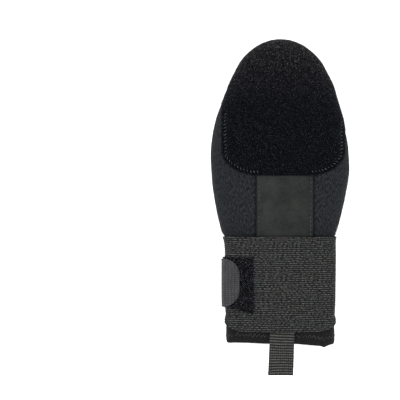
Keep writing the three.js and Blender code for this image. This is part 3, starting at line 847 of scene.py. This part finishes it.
NEOPRENE = neoprene_material()
PANEL = smooth_panel_material()
# The cap and its fibres have a painted highlight at the fingertips
CAP = napped_material("napped_cloth", rgb(2, 3, 6), rgb(20, 23, 30), 0.03, 1250, rgb(62, 62, 64))
CAP_FIBRE = napped_material("nap_fibre", rgb(1, 2, 5), rgb(103, 111, 134), 0.05, 1250, rgb(184, 184, 186))
PILE = napped_material("loop_pile", rgb(4, 4, 6), rgb(22, 23, 28), 0.02, 900)
PILE_FIBRE = napped_material("loop_fibre", rgb(4, 5, 7), rgb(166, 168, 182), 0.02, 1400)
ELASTIC = elastic_material()
TAPE = tape_material()
WEBBING = webbing_material()
BINDING = plain_cloth_material("binding_cloth", rgb(8, 8, 8), rgb(29, 29, 29), 0.85, 500)
GREY_THREAD = plain_cloth_material("grey_thread", rgb(36, 38, 42), rgb(144, 146, 151), 0.7, 200)
DIM_THREAD = plain_cloth_material("dim_thread", rgb(26, 26, 26), rgb(98, 99, 98), 0.6, 260)
PANEL_THREAD = plain_cloth_material("panel_thread", rgb(50, 52, 50), rgb(116, 118, 116), 0.6, 400)
BLACK_THREAD = plain_cloth_material("black_thread", rgb(4, 4, 4), rgb(8, 8, 8), 0.9, 2500)


# The finger cap's outline, which the shell's wrinkles keep clear of

NAP = 0.5  # how far the fibres stand up
CAP_SWELL = 12  # the cap reaches its full thickness this far inside its edge
CAP_SEAM_INSET = 4
SEAM_DEPTH = 0.7
SEAM_CLEAR = 1.0  # how far the fibres keep from the stitches
SEAM_OVER_PANEL = 4  # how far the stitches run on over the centre panel's edge
SEAM_STEP = 1.75  # along the seam, from one corner of its zigzag to the next
FIBRES = 48500


def cap_inset(distance, turn):
    """How far inside the cap's outline a place is, in mm. It is negative outside."""
    face = np.sin(turn)
    shift = mix(CAP_SEAM_SHIFT, CAP_SHIFT * np.sign(face), smooth(np.abs(face) / 0.6))
    x = np.abs(skin(distance, turn)[..., 0] - shift)
    into_x = x - (CAP_WIDTH / 2 - CAP_CORNER_WIDTH)
    into_y = distance - (CAP_END - CAP_CORNER_HEIGHT)
    oval = np.hypot(into_x / CAP_CORNER_WIDTH, into_y / CAP_CORNER_HEIGHT)
    corner = (into_x > 0) & (into_y > 0)
    straight = np.minimum(CAP_WIDTH / 2 - x, CAP_END - distance)
    return np.where(corner, (1 - oval) * (CAP_CORNER_WIDTH + CAP_CORNER_HEIGHT) / 2, straight)


def cap_edges(turn):
    """The distance along the mitt at which the cap's edge crosses each turn."""
    steps = np.linspace(CAP_CORNER_HEIGHT, CAP_END + 1, 400)
    last = np.argmin(cap_inset(steps[:, None], turn[None]) > 0, 0)
    near, far = steps[np.maximum(last - 1, 0)], steps[last]
    return bisect(near, far, lambda distance: cap_inset(distance, turn) > 0, 24)[0]


def cap_turns(count):
    """Turns whose places on the cap's edge lie nearly evenly along it."""
    fine = np.linspace(0, TAU, 6001)
    run = run_of(over(cap_edges(fine), fine, np.full(fine.shape, 2.0)))
    even = np.interp(np.linspace(0, run[-1], count + 1), run, fine)
    return mix(even, np.linspace(0, TAU, count + 1), 0.25)[:-1]


def cap_seam(side, face, start, step):
    """Distances and turns of the stitched line inside the cap's outline, on one face, from its
    start down one side and round the corner as far as the centre panel."""
    up = 1 if face == UP else -1
    wide, high = CAP_CORNER_WIDTH - CAP_SEAM_INSET, CAP_CORNER_HEIGHT - CAP_SEAM_INSET
    corner_x, corner_d = CAP_WIDTH / 2 - CAP_CORNER_WIDTH, CAP_END - CAP_CORNER_HEIGHT
    angle = np.linspace(0, UP, 80)
    straight = np.linspace(start, corner_d, 40)[:-1]
    across = np.linspace(corner_x, -corner_x, 40)[1:]
    x = np.concatenate([straight * 0 + corner_x + wide, corner_x + wide * np.cos(angle), across])
    d = np.concatenate([straight, corner_d + high * np.sin(angle), across * 0 + corner_d + high])
    x = x * side + CAP_SHIFT * up
    run = np.concatenate([[0], np.cumsum(np.hypot(np.diff(x), np.diff(d)))])
    wanted = np.arange(0, run[-1], step)
    x, d = np.interp(wanted, run, x), np.interp(wanted, run, d)
    keep = (x - PANEL_SHIFT * up) * side > PANEL_WIDTH / 2 - SEAM_OVER_PANEL
    return d[keep], turn_for_x(d[keep], x[keep], face)


# Where the stitches start down the cap's sides
SEAM_STARTS = [
    {"face": UP, "side": -1, "start": 76, "name": "upper_left"},
    {"face": UP, "side": 1, "start": 84, "name": "upper_right"},
    {"face": DOWN, "side": -1, "start": 84, "name": "lower_left"},
    {"face": DOWN, "side": 1, "start": 76, "name": "lower_right"},
]
outline_turns = np.linspace(0, TAU, 3001)[:-1]
CAP_OUTLINE = skin(cap_edges(outline_turns), outline_turns)
CAP_SEAMS = np.concatenate(
    [skin(*cap_seam(row["side"], row["face"], row["start"], 0.4)) for row in SEAM_STARTS]
)


def cap_heights(distance, turn):
    """The cap's two faces over the skin, and how far a place is from its edge and its stitches."""
    place = skin(distance, turn)
    to_edge, to_seam = distances_to(CAP_OUTLINE, place), distances_to(CAP_SEAMS, place)
    thickness = mix(CAP_EDGE_THICKNESS, CAP_THICKNESS, ramp(to_edge, 0, CAP_SWELL)) - NAP
    low = GAP + drape(distance, turn)
    lumps = 0.14 * cloth_noise(turn * 40, distance * 0.7, 8) * ramp(to_edge, 0.5, 3)
    pressed = SEAM_DEPTH * crest(to_seam, 1.5)
    return low, low + np.maximum(thickness + lumps - pressed, 0.25), to_edge, to_seam


# The shell

AROUND = 300  # how many columns the shell, the cap and the hem are cut in
SEWN_DEPTH = 1.3  # of the groove beside a panel, where it is sewn to the shell
SEWN_ASIDE = 0.7
CREASE_SLANT = 0.3
WRAP_DENT = 0.5


def shell_relief(distance, turn):
    """The neoprene's creases and soft dents where it shows, and its pressed lines, in mm."""
    girth = turn * GIRTH / TAU
    x = np.abs(skin(distance, turn)[..., 0] - PANEL_SHIFT * np.sign(np.sin(turn)))
    below_cap = distance - cap_edges(turn[0])[None]
    shown = ramp(x, PANEL_WIDTH / 2 + 0.5, PANEL_WIDTH / 2 + 3) * ramp(below_cap, 1, 5)
    shown = shown * (1 - ramp(distance, WRAP_HIGH - 4, WRAP_HIGH - 1))
    creases = uneven("crease", CREASE_SLANT * distance - girth, distance)
    dents = uneven("small_dent", girth, distance) + uneven("wide_dent", girth, distance)
    groove = SEWN_DEPTH * crest(x - PANEL_WIDTH / 2 - SEWN_ASIDE, 1.0)
    sewn = groove * ramp(distance, CAP_END - 4, CAP_END)
    return (creases + dents) * shown - sewn - wrap_dent(distance)


def wrap_dent(distance):
    """How far the cloth is pressed in beside the wrap's upper edge."""
    return WRAP_DENT * crest(distance - WRAP_HIGH + 0.7, 0.9)


def tip_rows(count):
    """Distances over the shell's length, closest together at its fingertip."""
    return SHELL_LENGTH * (1 - np.cos(UP * np.arange(1, count + 1) / count))


def shell_piece():
    turn = (TAU * np.arange(AROUND) / AROUND)[None]
    tip, inside = tip_rows(70), tip_rows(40)
    shown = [60, WRAP_HIGH + 6]
    outer = np.concatenate(
        [tip[tip < shown[0]], np.arange(*shown, 0.85), np.arange(shown[1] + 3, SHELL_LENGTH - 3, 6)]
    )[:, None]
    inner = inside[inside < SHELL_LENGTH - 3][::-1, None]
    rim = np.full((2, 1), SHELL_LENGTH)
    rim_offset = np.array([[-0.6], [0.6 - SHELL_WALL]]) + 0 * turn
    rim_rings = over(rim, turn, rim_offset)
    rim_rings[..., 1] = SHELL_TIP - SHELL_LENGTH
    outer_rings = over(outer, turn, shell_relief(outer + 0 * turn, turn + 0 * outer))
    inner_rings = over(inner, turn, -float(SHELL_WALL) + 0 * turn + 0 * inner)
    distance = np.concatenate([outer, rim, inner]) + np.zeros(AROUND + 1)
    girth = np.linspace(0, GIRTH, AROUND + 1) + 0 * distance
    rings = hung(np.concatenate([outer_rings, rim_rings, inner_rings]), distance[:, :-1])
    ends = over(0, 0, 0.0), over(0, 0, -float(SHELL_WALL))
    piece = capsule_piece("padded_shell", rings, NEOPRENE, *ends, uv=(girth, distance))
    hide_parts("mitt_shell")


# The finger cap


def cap_piece():
    turn = cap_turns(AROUND)[None]
    edge = cap_edges(turn[0])[None]
    last = np.array([1.6, 1.0, 0.5, 0.15, 0.0])[:, None]
    shares = (1 - np.cos(UP * np.arange(1, 101) / 100))[:-1, None]
    distance = np.concatenate([shares * (edge - last[0]), edge - last])
    turns = turn + 0 * distance
    under, above, to_edge, to_seam = cap_heights(distance, turns)
    low, high = slab_heights(under, above, to_edge)
    outer = raised(over(distance, turns, high), NAP)
    kept = np.r_[0 : len(shares) : 3, len(shares) : len(distance)]
    inner = raised(over(distance, turns, low)[kept][::-1], NAP + GAP)
    ends = over(0, 0, TIP_STEP - NAP), over(0, 0, GAP)
    piece = capsule_piece("napped_cap", np.concatenate([outer, inner]), CAP, *ends)
    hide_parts("finger_cap")
    return piece, outer, to_seam


def cap_nap(outer, to_seam):
    """The cap's fibres, which leave its stitches clear."""
    rng = np.random.default_rng(11)
    points = outer.reshape(-1, 3)
    faces, _ = grid(*outer.shape[:2], ring=True)
    place, normal = scatter(points, faces, to_seam.ravel()[faces].min(1) > SEAM_CLEAR, FIBRES, rng)
    outward = place - np.array([0, 0, MITT_DEPTH / 2])
    outward[:, 1] = np.maximum(place[:, 1] - SHELL_TIP + 40, 0)
    normal = normal * np.where((normal * outward).sum(-1, keepdims=True) < 0, -1, 1)
    lengths = NAP * (0.8 + 1.2 * rng.random(FIBRES))
    widths = 0.45 + 0.35 * rng.random(FIBRES)
    fibres = pile("cap_nap", place - normal * 0.15, normal, lengths, widths, 0.6, CAP_FIBRE, rng)
    return fibres


def zigzag(name, centres, normals, width, radius, material, every=1):
    """A zigzag of threads along a line of places, of which one in every few shows."""
    side = np.cross(normals, unit(np.gradient(centres, axis=0)))
    count = np.arange(len(centres))
    swing = np.where(count % 2 == 0, 1.0, -1.0) + 0.55 * cloth_noise(count * 0.7, 0 * count, 14)
    corners = centres + side * swing[:, None] * width / 2
    shown = np.arange(0, len(centres) - 1, every)
    return threads(name, corners[shown], corners[shown + 1], normals[shown], radius, material)


def cap_stitching():
    pieces = []
    for row in SEAM_STARTS:
        distance, turn = cap_seam(row["side"], row["face"], row["start"], SEAM_STEP)
        _, high, _, _ = cap_heights(distance, turn)
        centres = over(distance, turn, high + 0.3)
        normals = skin_normal(distance, turn)
        piece = zigzag(f"cap_stitches_{row['name']}", centres, normals, 2.3, 0.26, GREY_THREAD, 2)
        pieces.append(piece)
    return pieces


# The centre panels

TOPSTITCH_INSET = 2.6
SHELL_THREAD_INSET = -0.6  # the thick thread beside the panel, which lies in the shell's groove
TOPSTITCH_DEPTH = 0.4
PANEL_FADE = 6  # the length over which its dents fade out beside the cap and the wrap


def panel_heights(distance, x):
    """The panel's two faces over the skin. x is from its middle."""
    from_side = PANEL_WIDTH / 2 - np.abs(x)
    inset = np.minimum(from_side, np.minimum(distance - PANEL_START, PANEL_END - distance))
    low, high = slab_heights(GAP + 0 * x, GAP + PANEL_THICKNESS + 0 * x, inset / 2)
    stitched = TOPSTITCH_DEPTH * crest(from_side - TOPSTITCH_INSET, 0.8)
    dents = uneven("small_panel_dent", x, distance) + uneven("wide_panel_dent", x, distance)
    shown = ramp(distance, CAP_END, CAP_END + PANEL_FADE)
    shown = shown * (1 - ramp(distance, WRAP_HIGH - PANEL_FADE, WRAP_HIGH)) * smooth(from_side / 8)
    return low, high + dents * shown - stitched - wrap_dent(distance) * smooth(inset / 5)


def panel_piece(face, name, node):
    shift = PANEL_SHIFT if face == UP else -PANEL_SHIFT
    ends = edged(90, PANEL_END - PANEL_START, 0.6) + PANEL_START

    def face_grid(columns):
        distance, x = np.meshgrid(ends, columns - PANEL_WIDTH / 2, indexing="ij")
        return distance, x, turn_for_x(distance, x + shift, face)

    distance, x, turn = face_grid(edged(80, PANEL_WIDTH, 1.2))
    outer = raised(over(distance, turn, panel_heights(distance, x)[1]))
    back_distance, back_x, turn = face_grid(edged(16, PANEL_WIDTH, 1.2))
    inner = over(back_distance, turn, panel_heights(back_distance, back_x)[0])
    piece = cloth_piece(name, outer, inner, PANEL, (x, distance), (back_x, back_distance))
    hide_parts(node)

    def line(kind, side, inset, start, length, gap, offset, radius, material):
        """A row of stitches beside the panel's edge. Where it is outside, it lies on the shell."""
        first = np.arange(start, WRAP_HIGH - length - 0.5, length + gap)
        both = np.stack([first, first + length])
        across = np.full(both.shape, side * (PANEL_WIDTH / 2 - inset))
        turns = turn_for_x(both, across + shift, face)
        height = panel_heights(both, across)[1] if inset > 0 else GAP + 0 * both
        places = over(both, turns, height + offset)
        ups = skin_normal(both[0], turns[0])
        edge = "left" if side < 0 else "right"
        made = threads(f"{name}_{kind}_{edge}", *places, ups, radius, material, arch=0.6)
        return made

    top = {"inset": TOPSTITCH_INSET, "start": CAP_END + 1.5, "length": 2.5, "gap": 1.9}
    top |= {"offset": 0.12, "radius": 0.3, "material": PANEL_THREAD}
    seam = {"inset": SHELL_THREAD_INSET, "start": CAP_END - 2, "length": 2.6, "gap": -0.3}
    seam |= {"offset": -0.2, "radius": 0.65, "material": BLACK_THREAD}
    along = [line("topstitch", side, **top) for side in (-1, 1)]
    along += [line("seam", side, **seam) for side in (-1, 1)]


# The wrist wrap

WRAP_TIP = WRAP_END - GIRTH
LIFT_OFF = WRAP_START - GIRTH + DRAPE_MARGIN  # the arc past which the elastic slopes down off its own start
CLIMB = 40
STRAP_SEWN = WRAP_TIP + STRAP_TUCK
STRAP_CLIMB = 12
WRAP_RISE = 1.8  # how far the lower edge has risen on the upper face
PATCH_WELT = 1.2  # how far the elastic bulges beside the patch's sewn upper edge
PATCH_EDGE = 1.2 - PATCH_REACH  # the patch's visible end, a little short of its solid's
RIB_HEIGHT = 0.16
DASH_HEIGHT = 0.07
END_STITCH_PITCH = 1.9


def second_lap(arc):
    """1 where the elastic lies on its own start, and 0 where it lies on the shell."""
    return 1 - ramp(arc, LIFT_OFF, LIFT_OFF + CLIMB)


def wrap_under(arc, distance, turn):
    """The height of the wrap's inner face over the skin."""
    edge = STRAP_WIDTH / 2 + 2 * DRAPE_MARGIN
    beside = ramp(np.abs(distance - WRAP_MIDDLE), edge, edge + DRAPE)
    past = ramp(arc, STRAP_SEWN + DRAPE_MARGIN, STRAP_SEWN + STRAP_CLIMB)
    lift = LAYER * second_lap(arc) + (STRAP_THICKNESS + GAP) * (1 - past) * (1 - beside)
    return GAP + lift + drape(distance, turn)


def wrap_edges(arc):
    """The wrap's edges along the arm. It narrows to a point at its outer end."""
    taper = 1 - np.clip((arc - WRAP_TIP) / WRAP_TAPER, 0, 1)
    half = mix(WRAP_WIDTH / 2, STRAP_WIDTH / 2 + GAP, taper)
    turn = turn_at(arc)
    drawn = WRAP_CURVE * np.cos(turn) ** 8 * (1 - taper)
    risen = WRAP_RISE * mix(0.6, 1, smooth(np.sin(turn) / 0.5)) * (1 - taper)
    return WRAP_MIDDLE - half, WRAP_MIDDLE + half - drawn - risen


def rib_place(arc, distance):
    """Where a place lies across the ribs, which aren't quite straight."""
    return distance + uneven("rib_shift", arc, distance)


def wrap_relief(arc, distance, inset):
    """The elastic's ribs round the wrist, broken into dashes by its weave, and its gentle waves."""
    row = np.floor(distance / RIB_PITCH)
    dash = cloth_noise(arc / 2.6 + row * 0.37, row * 1.7, 6)
    rib = (RIB_HEIGHT + DASH_HEIGHT * dash) * np.cos(TAU * (rib_place(arc, distance) / RIB_PITCH - 0.5))
    covered = ramp(arc, -PATCH_REACH - 6, -PATCH_REACH)
    waves = uneven("elastic_wave", arc, distance) * (1 - covered)
    from_patch = distance - (WRAP_MIDDLE - PATCH_WIDTH / 2 - 1.6)
    beside = ramp(arc, -PATCH_REACH - 3, -PATCH_REACH + 3) * (1 - ramp(arc, -8, 0))
    welt = PATCH_WELT * beside * crest(from_patch, 1.3)
    return rib * (1 - 0.5 * ramp(arc, WRAP_END - 4, WRAP_END)) + waves * smooth(inset / 6) + welt


def wrap_piece():
    arcs = WRAP_TIP + edged(300, WRAP_START - WRAP_TIP, 0.75)
    shape = arcs, wrap_edges, wrap_under, WRAP_THICKNESS
    piece = strip_piece("elastic_wrap", shape, ELASTIC, 280, wrap_relief, rib_place)
    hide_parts("wrist_wrap")
    flat = (WRAP_WIDTH * MM, cut_length(arcs, wrap_under, WRAP_THICKNESS) * MM)
    wrap_stitching()


def wrap_stitching():
    """The row of stitches across the pointed end, through the strap."""
    distance = WRAP_MIDDLE + np.arange(-STRAP_WIDTH / 2 + 2, STRAP_WIDTH / 2 - 2, END_STITCH_PITCH)
    arc = np.full(distance.shape, WRAP_TIP + STRAP_TUCK / 2)
    turn = turn_at(arc)
    above = wrap_under(arc, distance, turn) + WRAP_THICKNESS
    centres = over(distance, turn, above + 0.25)
    centres[:, 2] = np.minimum(centres[:, 2], over(distance, turn, above)[:, 2])
    piece = zigzag("wrap_end_stitches", centres, skin_normal(distance, turn), 2.4, 0.25, DIM_THREAD)
    return piece


# The loop patch

PILE_GROUND = PATCH_THICKNESS - NAP * 0.6  # the thickness of the cloth that the loops stand on
LOOP_ROW = 1.05  # the pitch of the loops' rows. The loops of a row are two pitches apart
LOOP_TRIES = 18000
PATCH_DRAWN = 5.5
FRAY = 0.4  # how far loops stick out past the patch's visible end


def patch_edges(arc):
    """The patch's edges along the arm. Its lower edge draws up round the mitt's side."""
    half = PATCH_WIDTH / 2
    drawn = PATCH_DRAWN * np.clip(1 + (arc + 8) / 22, 0, 1) * (1 - ramp(arc, 0, 14))
    return WRAP_MIDDLE - half + 0 * arc, WRAP_MIDDLE + half - drawn


def patch_under(_arc, distance, turn):
    return GAP + LAYER + drape(distance, turn)


def patch_piece():
    arcs = PATCH_EDGE + edged(90, PATCH_START - PATCH_EDGE, 0.45)
    shape = arcs, patch_edges, patch_under, PILE_GROUND
    lumps = lambda arc, distance, _inset: uneven("patch_lump", arc, distance)
    piece = strip_piece("loop_patch_cloth", shape, PILE, 90, lumps)
    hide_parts("loop_patch")
    flat = (PATCH_WIDTH * MM, cut_length(arcs, patch_under, PATCH_THICKNESS) * MM)
    patch_nap()


def patch_nap():
    """The loops that stand up round the closed strap."""
    rng = np.random.default_rng(5)
    arc = rng.uniform(PATCH_EDGE - FRAY, PATCH_START, LOOP_TRIES)
    share = rng.uniform(0, 1, arc.shape)
    distance = mix(*patch_edges(arc), share)
    row = np.round(distance / LOOP_ROW)
    column = np.round(arc / (2 * LOOP_ROW) - row / 2) + row / 2
    arc = column * 2 * LOOP_ROW + rng.normal(0, 0.28, arc.shape)
    distance = row * LOOP_ROW + rng.normal(0, 0.2, arc.shape)
    low, high = patch_edges(arc)
    held = (arc > PATCH_EDGE - FRAY) & (distance > low) & (distance < high)
    low, high = strap_edges(arc)
    held &= (arc < -STRAP_TONGUE) | (distance < low - GAP) | (distance > high + GAP)
    arc, distance = arc[held], distance[held]
    turn = turn_at(arc)
    place = over(distance, turn, patch_under(arc, distance, turn) + PILE_GROUND - 0.1)
    frayed = 1 - smooth((arc - PATCH_EDGE) / 1.5)
    lengths = 0.6 + (0.7 + 0.8 * frayed) * rng.random(len(arc))
    widths = 0.25 + 0.25 * rng.random(len(arc))
    normal = skin_normal(distance, turn)
    loops = pile("loop_patch_nap", place, normal, lengths, widths, 1.6, PILE_FIBRE, rng)
    return loops


# The hook strap

HOOK_HEIGHT = 0.09
SELVEDGE_HEIGHT = 0.25
SELVEDGE_GROOVE = 0.2


def strap_edges(arc):
    """The strap's edges along the arm. It leans a little, and its tongue is rounded."""
    into = np.clip(1 - (arc + STRAP_TONGUE) / TONGUE_RADIUS, 0, 1)
    half = STRAP_WIDTH / 2 - (1 - np.sqrt(1 - into**2)) * TONGUE_RADIUS
    lean = STRAP_LEAN * np.clip((WRAP_END - arc) / (WRAP_END + STRAP_TONGUE), 0, 1)
    return WRAP_MIDDLE - lean - half, WRAP_MIDDLE - lean + half


def strap_piece():
    sewn = WRAP_END + STRAP_TUCK

    def under(arc, distance, turn):
        on_patch = 1 - ramp(arc, PATCH_START + 1, WRAP_END + 1)
        return GAP + LAYER + (PATCH_THICKNESS + GAP) * on_patch + drape(distance, turn)

    def weave(arc, distance, inset):
        """Rows of hooks, and a raised selvedge beside the rounded edge."""
        hooks = HOOK_HEIGHT * np.cos(TAU * arc / HOOK_SPACING) * np.cos(TAU * distance / HOOK_PITCH)
        selvedge = SELVEDGE_HEIGHT * crest(inset - 1.3, 0.5) - SELVEDGE_GROOVE * crest(inset - 2.6, 0.5)
        return hooks * smooth(inset / 3) + selvedge

    tongue = -STRAP_TONGUE + TONGUE_RADIUS * (1 - np.cos(UP * np.arange(0, 41) / 40))
    rest = -STRAP_TONGUE + TONGUE_RADIUS + edged(90, sewn + STRAP_TONGUE - TONGUE_RADIUS, 0.5)[5:]
    arcs = np.concatenate([tongue, rest])
    shape = arcs, strap_edges, under, STRAP_THICKNESS
    piece = strip_piece("hook_tape_strap", shape, TAPE, 110, weave)
    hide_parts("hook_strap")
    flat = (STRAP_WIDTH * MM, cut_length(arcs, under, STRAP_THICKNESS) * MM)


# The cuff binding

BINDING_TOP = GAP + BINDING_THICKNESS
HEM_STITCHES = BINDING_START + 14.9
HEM_STITCH_PITCH = 2.2
RIM_ROUND = 1.6  # how far up the walls the fold over the rim is rounded


def rim_place(drop, turn, offset):
    place = over(SHELL_LENGTH, turn, offset)
    place[..., 1] = SHELL_TIP - drop
    return place


def binding_piece():
    turn = TAU * np.arange(AROUND) / AROUND
    profile, distances = [], []

    def lay(distance, height):
        profile.append(over(distance, turn, np.broadcast_to(height, turn.shape)))
        distances.append(distance)

    def lay_rim(drop, offset):
        profile.append(rim_place(drop, turn, np.full(AROUND, offset)))
        distances.append(SHELL_LENGTH)

    outer = np.concatenate([[0, 0.1, 0.4], np.linspace(1, BINDING_WIDTH - RIM_STEP - 2, 22)])
    girth = turn * GIRTH / TAU
    for row in outer:
        stitched = 0.35 * crest(BINDING_START + row - HEM_STITCHES, 1.4)
        puckers = uneven("hem_pucker", girth, row)
        lay(BINDING_START + row, BINDING_TOP - 0.5 * (1 - min(1.0, row / 0.4)) + puckers - stitched)
    wall = SHELL_WALL + 2 * BINDING_TOP
    for share in np.linspace(0.06, 0.94, 11):
        bow = math.sin(math.pi * share) ** 0.6
        offset = BINDING_TOP - wall / 2 * (1 - math.cos(math.pi * share))
        lay_rim(SHELL_LENGTH - RIM_ROUND + (RIM_STEP + RIM_ROUND) * bow, offset)
    inner = np.linspace(BINDING_INNER_WIDTH - RIM_STEP - 2, 0, 8)
    for row in inner:
        lay(BINDING_INNER_START + row, -SHELL_WALL - BINDING_TOP)
    for row in inner[::-1]:
        lay(BINDING_INNER_START + row, -SHELL_WALL - GAP)
    lay_rim(SHELL_LENGTH + GAP, -SHELL_WALL - GAP)
    lay_rim(SHELL_LENGTH + GAP, GAP)
    for row in outer[::-1][::4]:
        lay(BINDING_START + row, GAP)
    sections = raised(hung(np.stack(profile, 1), np.array(distances)))
    piece = ring_piece("cuff_hem", sections, BINDING)
    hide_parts("cuff_binding")
    hem_stitching()


def hem_stitching():
    turn = turn_at(np.arange(0, GIRTH, HEM_STITCH_PITCH))
    distance = np.full(turn.shape, HEM_STITCHES)
    line = hung(over(distance, turn, np.full(turn.shape, BINDING_TOP - 0.05)), distance)
    stitches = zigzag("cuff_stitches", line, skin_normal(distance, turn), 3.4, 0.27, DIM_THREAD)
    return stitches


# The pull tab


def tab_line():
    """Distances and heights along the middle of the folded webbing, from its sewn upper end round
    the fold and back, and the length of the part that is tucked under the wrap."""
    seat = over(WRAP_LOW, UP, GAP + BINDING_TOP)[2] + TAB_THICKNESS / 2
    start = WRAP_LOW + GAP
    fold = SHELL_LENGTH + RIM_STEP + TAB_REACH - TAB_THICKNESS - TAB_OPENING / 2

    def droop(d):
        return TAB_DROOP * np.clip((d - start) / (fold - start), 0, 1) ** 2

    def leg(d):
        return TAB_THICKNESS + mix(GAP, TAB_OPENING, ramp(d, start, fold))

    tuck = np.linspace(TAB_START, start, 14)[:-1]
    tucked = leg(tuck) * (1 - ramp(start - tuck, 0, TAB_TUCK / 2))
    legs = np.linspace(start, fold, 170)
    radius = leg(fold) / 2
    angle = np.linspace(0, math.pi, 14)[1:-1]
    low = seat - droop(legs)
    line = np.concatenate(
        [
            np.stack([tuck, seat + tucked], -1),
            np.stack([legs, low + leg(legs)], -1),
            np.stack([fold + radius * np.sin(angle), low[-1] + radius * (1 + np.cos(angle))], -1),
            np.stack([legs, low], -1)[::-1],
        ]
    )
    return line, len(tuck)


TAB_RIB_DEPTH = 0.45
# The webbing is drawn in a little where it is sewn, widens again past the wrap, and leans to -X
TAB_WAIST = 0.985
TAB_SPREAD = 0.001
TAB_LEAN = 0.3
TAB_SLANT = 0.03


def tab_piece():
    line, tucked = tab_line()
    tangent = unit(np.gradient(line, axis=0))
    run = run_of(line)
    run -= run[tucked]

    def face(columns, side):
        s, x = np.meshgrid(run, columns - TAB_WIDTH / 2, indexing="ij")
        weave = s + 0.8 * cloth_noise(x / 15 + 3, s / 14, 13)
        inset = np.minimum(TAB_WIDTH / 2 - np.abs(x), np.minimum(s - run[0], run[-1] - s))
        half = TAB_THICKNESS / 2 + 0 * x
        height = slab_heights(-half, half, inset)[side]
        if side:
            ribs = 0.5 + 0.5 * np.cos(TAU * weave / TAB_RIB_PITCH)
            height = height - TAB_RIB_DEPTH * ribs * smooth(inset / 0.8)
        d = line[:, :1] - tangent[:, 1:] * height
        z = line[:, 1:] + tangent[:, :1] * height
        past = np.maximum(d - WRAP_LOW, 0)
        across = TAB_SHIFT + x * (TAB_WAIST + TAB_SPREAD * past) - TAB_LEAN - TAB_SLANT * past
        return np.stack([across, SHELL_TIP - d, z], -1), (x, weave)

    outer, outer_uv = face(edged(24, TAB_WIDTH, 0.5), 1)
    inner, inner_uv = face(edged(8, TAB_WIDTH, 0.5), 0)
    piece = cloth_piece("webbing_tab", outer, inner, WEBBING, outer_uv, inner_uv)
    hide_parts("pull_tab")


def dress_mitt():
    shell_piece()
    cap, outer, to_seam = cap_piece()
    on_cap = [cap_nap(outer, to_seam), *cap_stitching()]
    panel_piece(UP, "upper_smooth_panel", "upper_panel")
    panel_piece(DOWN, "lower_smooth_panel", "lower_panel")
    wrap_piece()
    patch_piece()
    strap_piece()
    binding_piece()
    tab_piece()


dress_mitt()

# The stage


FLOOR_REACH = 3
FLOOR_TONE = 0.96


def floor_piece():
    mesh = bpy.data.meshes.new("floor")
    corners = [(-1, -1), (1, -1), (1, 1), (-1, 1)]
    mesh.from_pydata([(FLOOR_REACH * x, FLOOR_REACH * y, 0) for x, y in corners], [], [(0, 1, 2, 3)])
    tone = (FLOOR_TONE, FLOOR_TONE, FLOOR_TONE, 1)
    mesh.materials.append(Nodes("pale_floor", tone, roughness=0.9, specular=0.0, sheen=0.0).material)
    placed("floor", mesh)


def area_light(name, place, size, power):
    """A square light that faces the mitt."""
    data = bpy.data.lights.new(name, "AREA")
    data.size = size
    data.energy = power
    light = placed(name, data)
    light.location = place
    light.rotation_euler = (-Vector(place)).to_track_quat("-Z", "Y").to_euler()


def studio():
    world = bpy.data.worlds.new("studio")
    world.use_nodes = True
    background = world.node_tree.nodes["Background"].inputs
    background["Color"].default_value = (1, 1, 1, 1)
    background["Strength"].default_value = 1.4
    bpy.context.scene.world = world
    area_light("key", place=(-0.7, 0.7, 1.6), size=1.3, power=20)
    area_light("fill", place=(0.7, -1.1, 1.3), size=1.4, power=19)
    area_light("tip", place=(0.0, 1.3, 0.8), size=1.0, power=13.5)
    area_light("cuff", place=(-0.45, -1.3, 0.75), size=0.9, power=9)
    bpy.context.scene.view_settings.view_transform = "Standard"


# The photograph's frame is as wide as this at the height of the mitt's sides, seen from above
FRAME_WIDTH = 0.416
FRAME_HEIGHT_AT = 0.022
FRAME_CENTRE_X = -0.0835
FRAME_CENTRE_BELOW_TIP = 0.168
LENS = 135
SENSOR = 36


def camera():
    data = bpy.data.cameras.new("camera")
    data.lens = LENS
    data.sensor_width = SENSOR
    above = FRAME_HEIGHT_AT + FRAME_WIDTH * LENS / SENSOR
    made = placed("camera", data)
    made.location = (FRAME_CENTRE_X, CAD_BOX[1][1] - FRAME_CENTRE_BELOW_TIP, above)
    bpy.context.scene.camera = made


floor_piece()
studio()
camera()
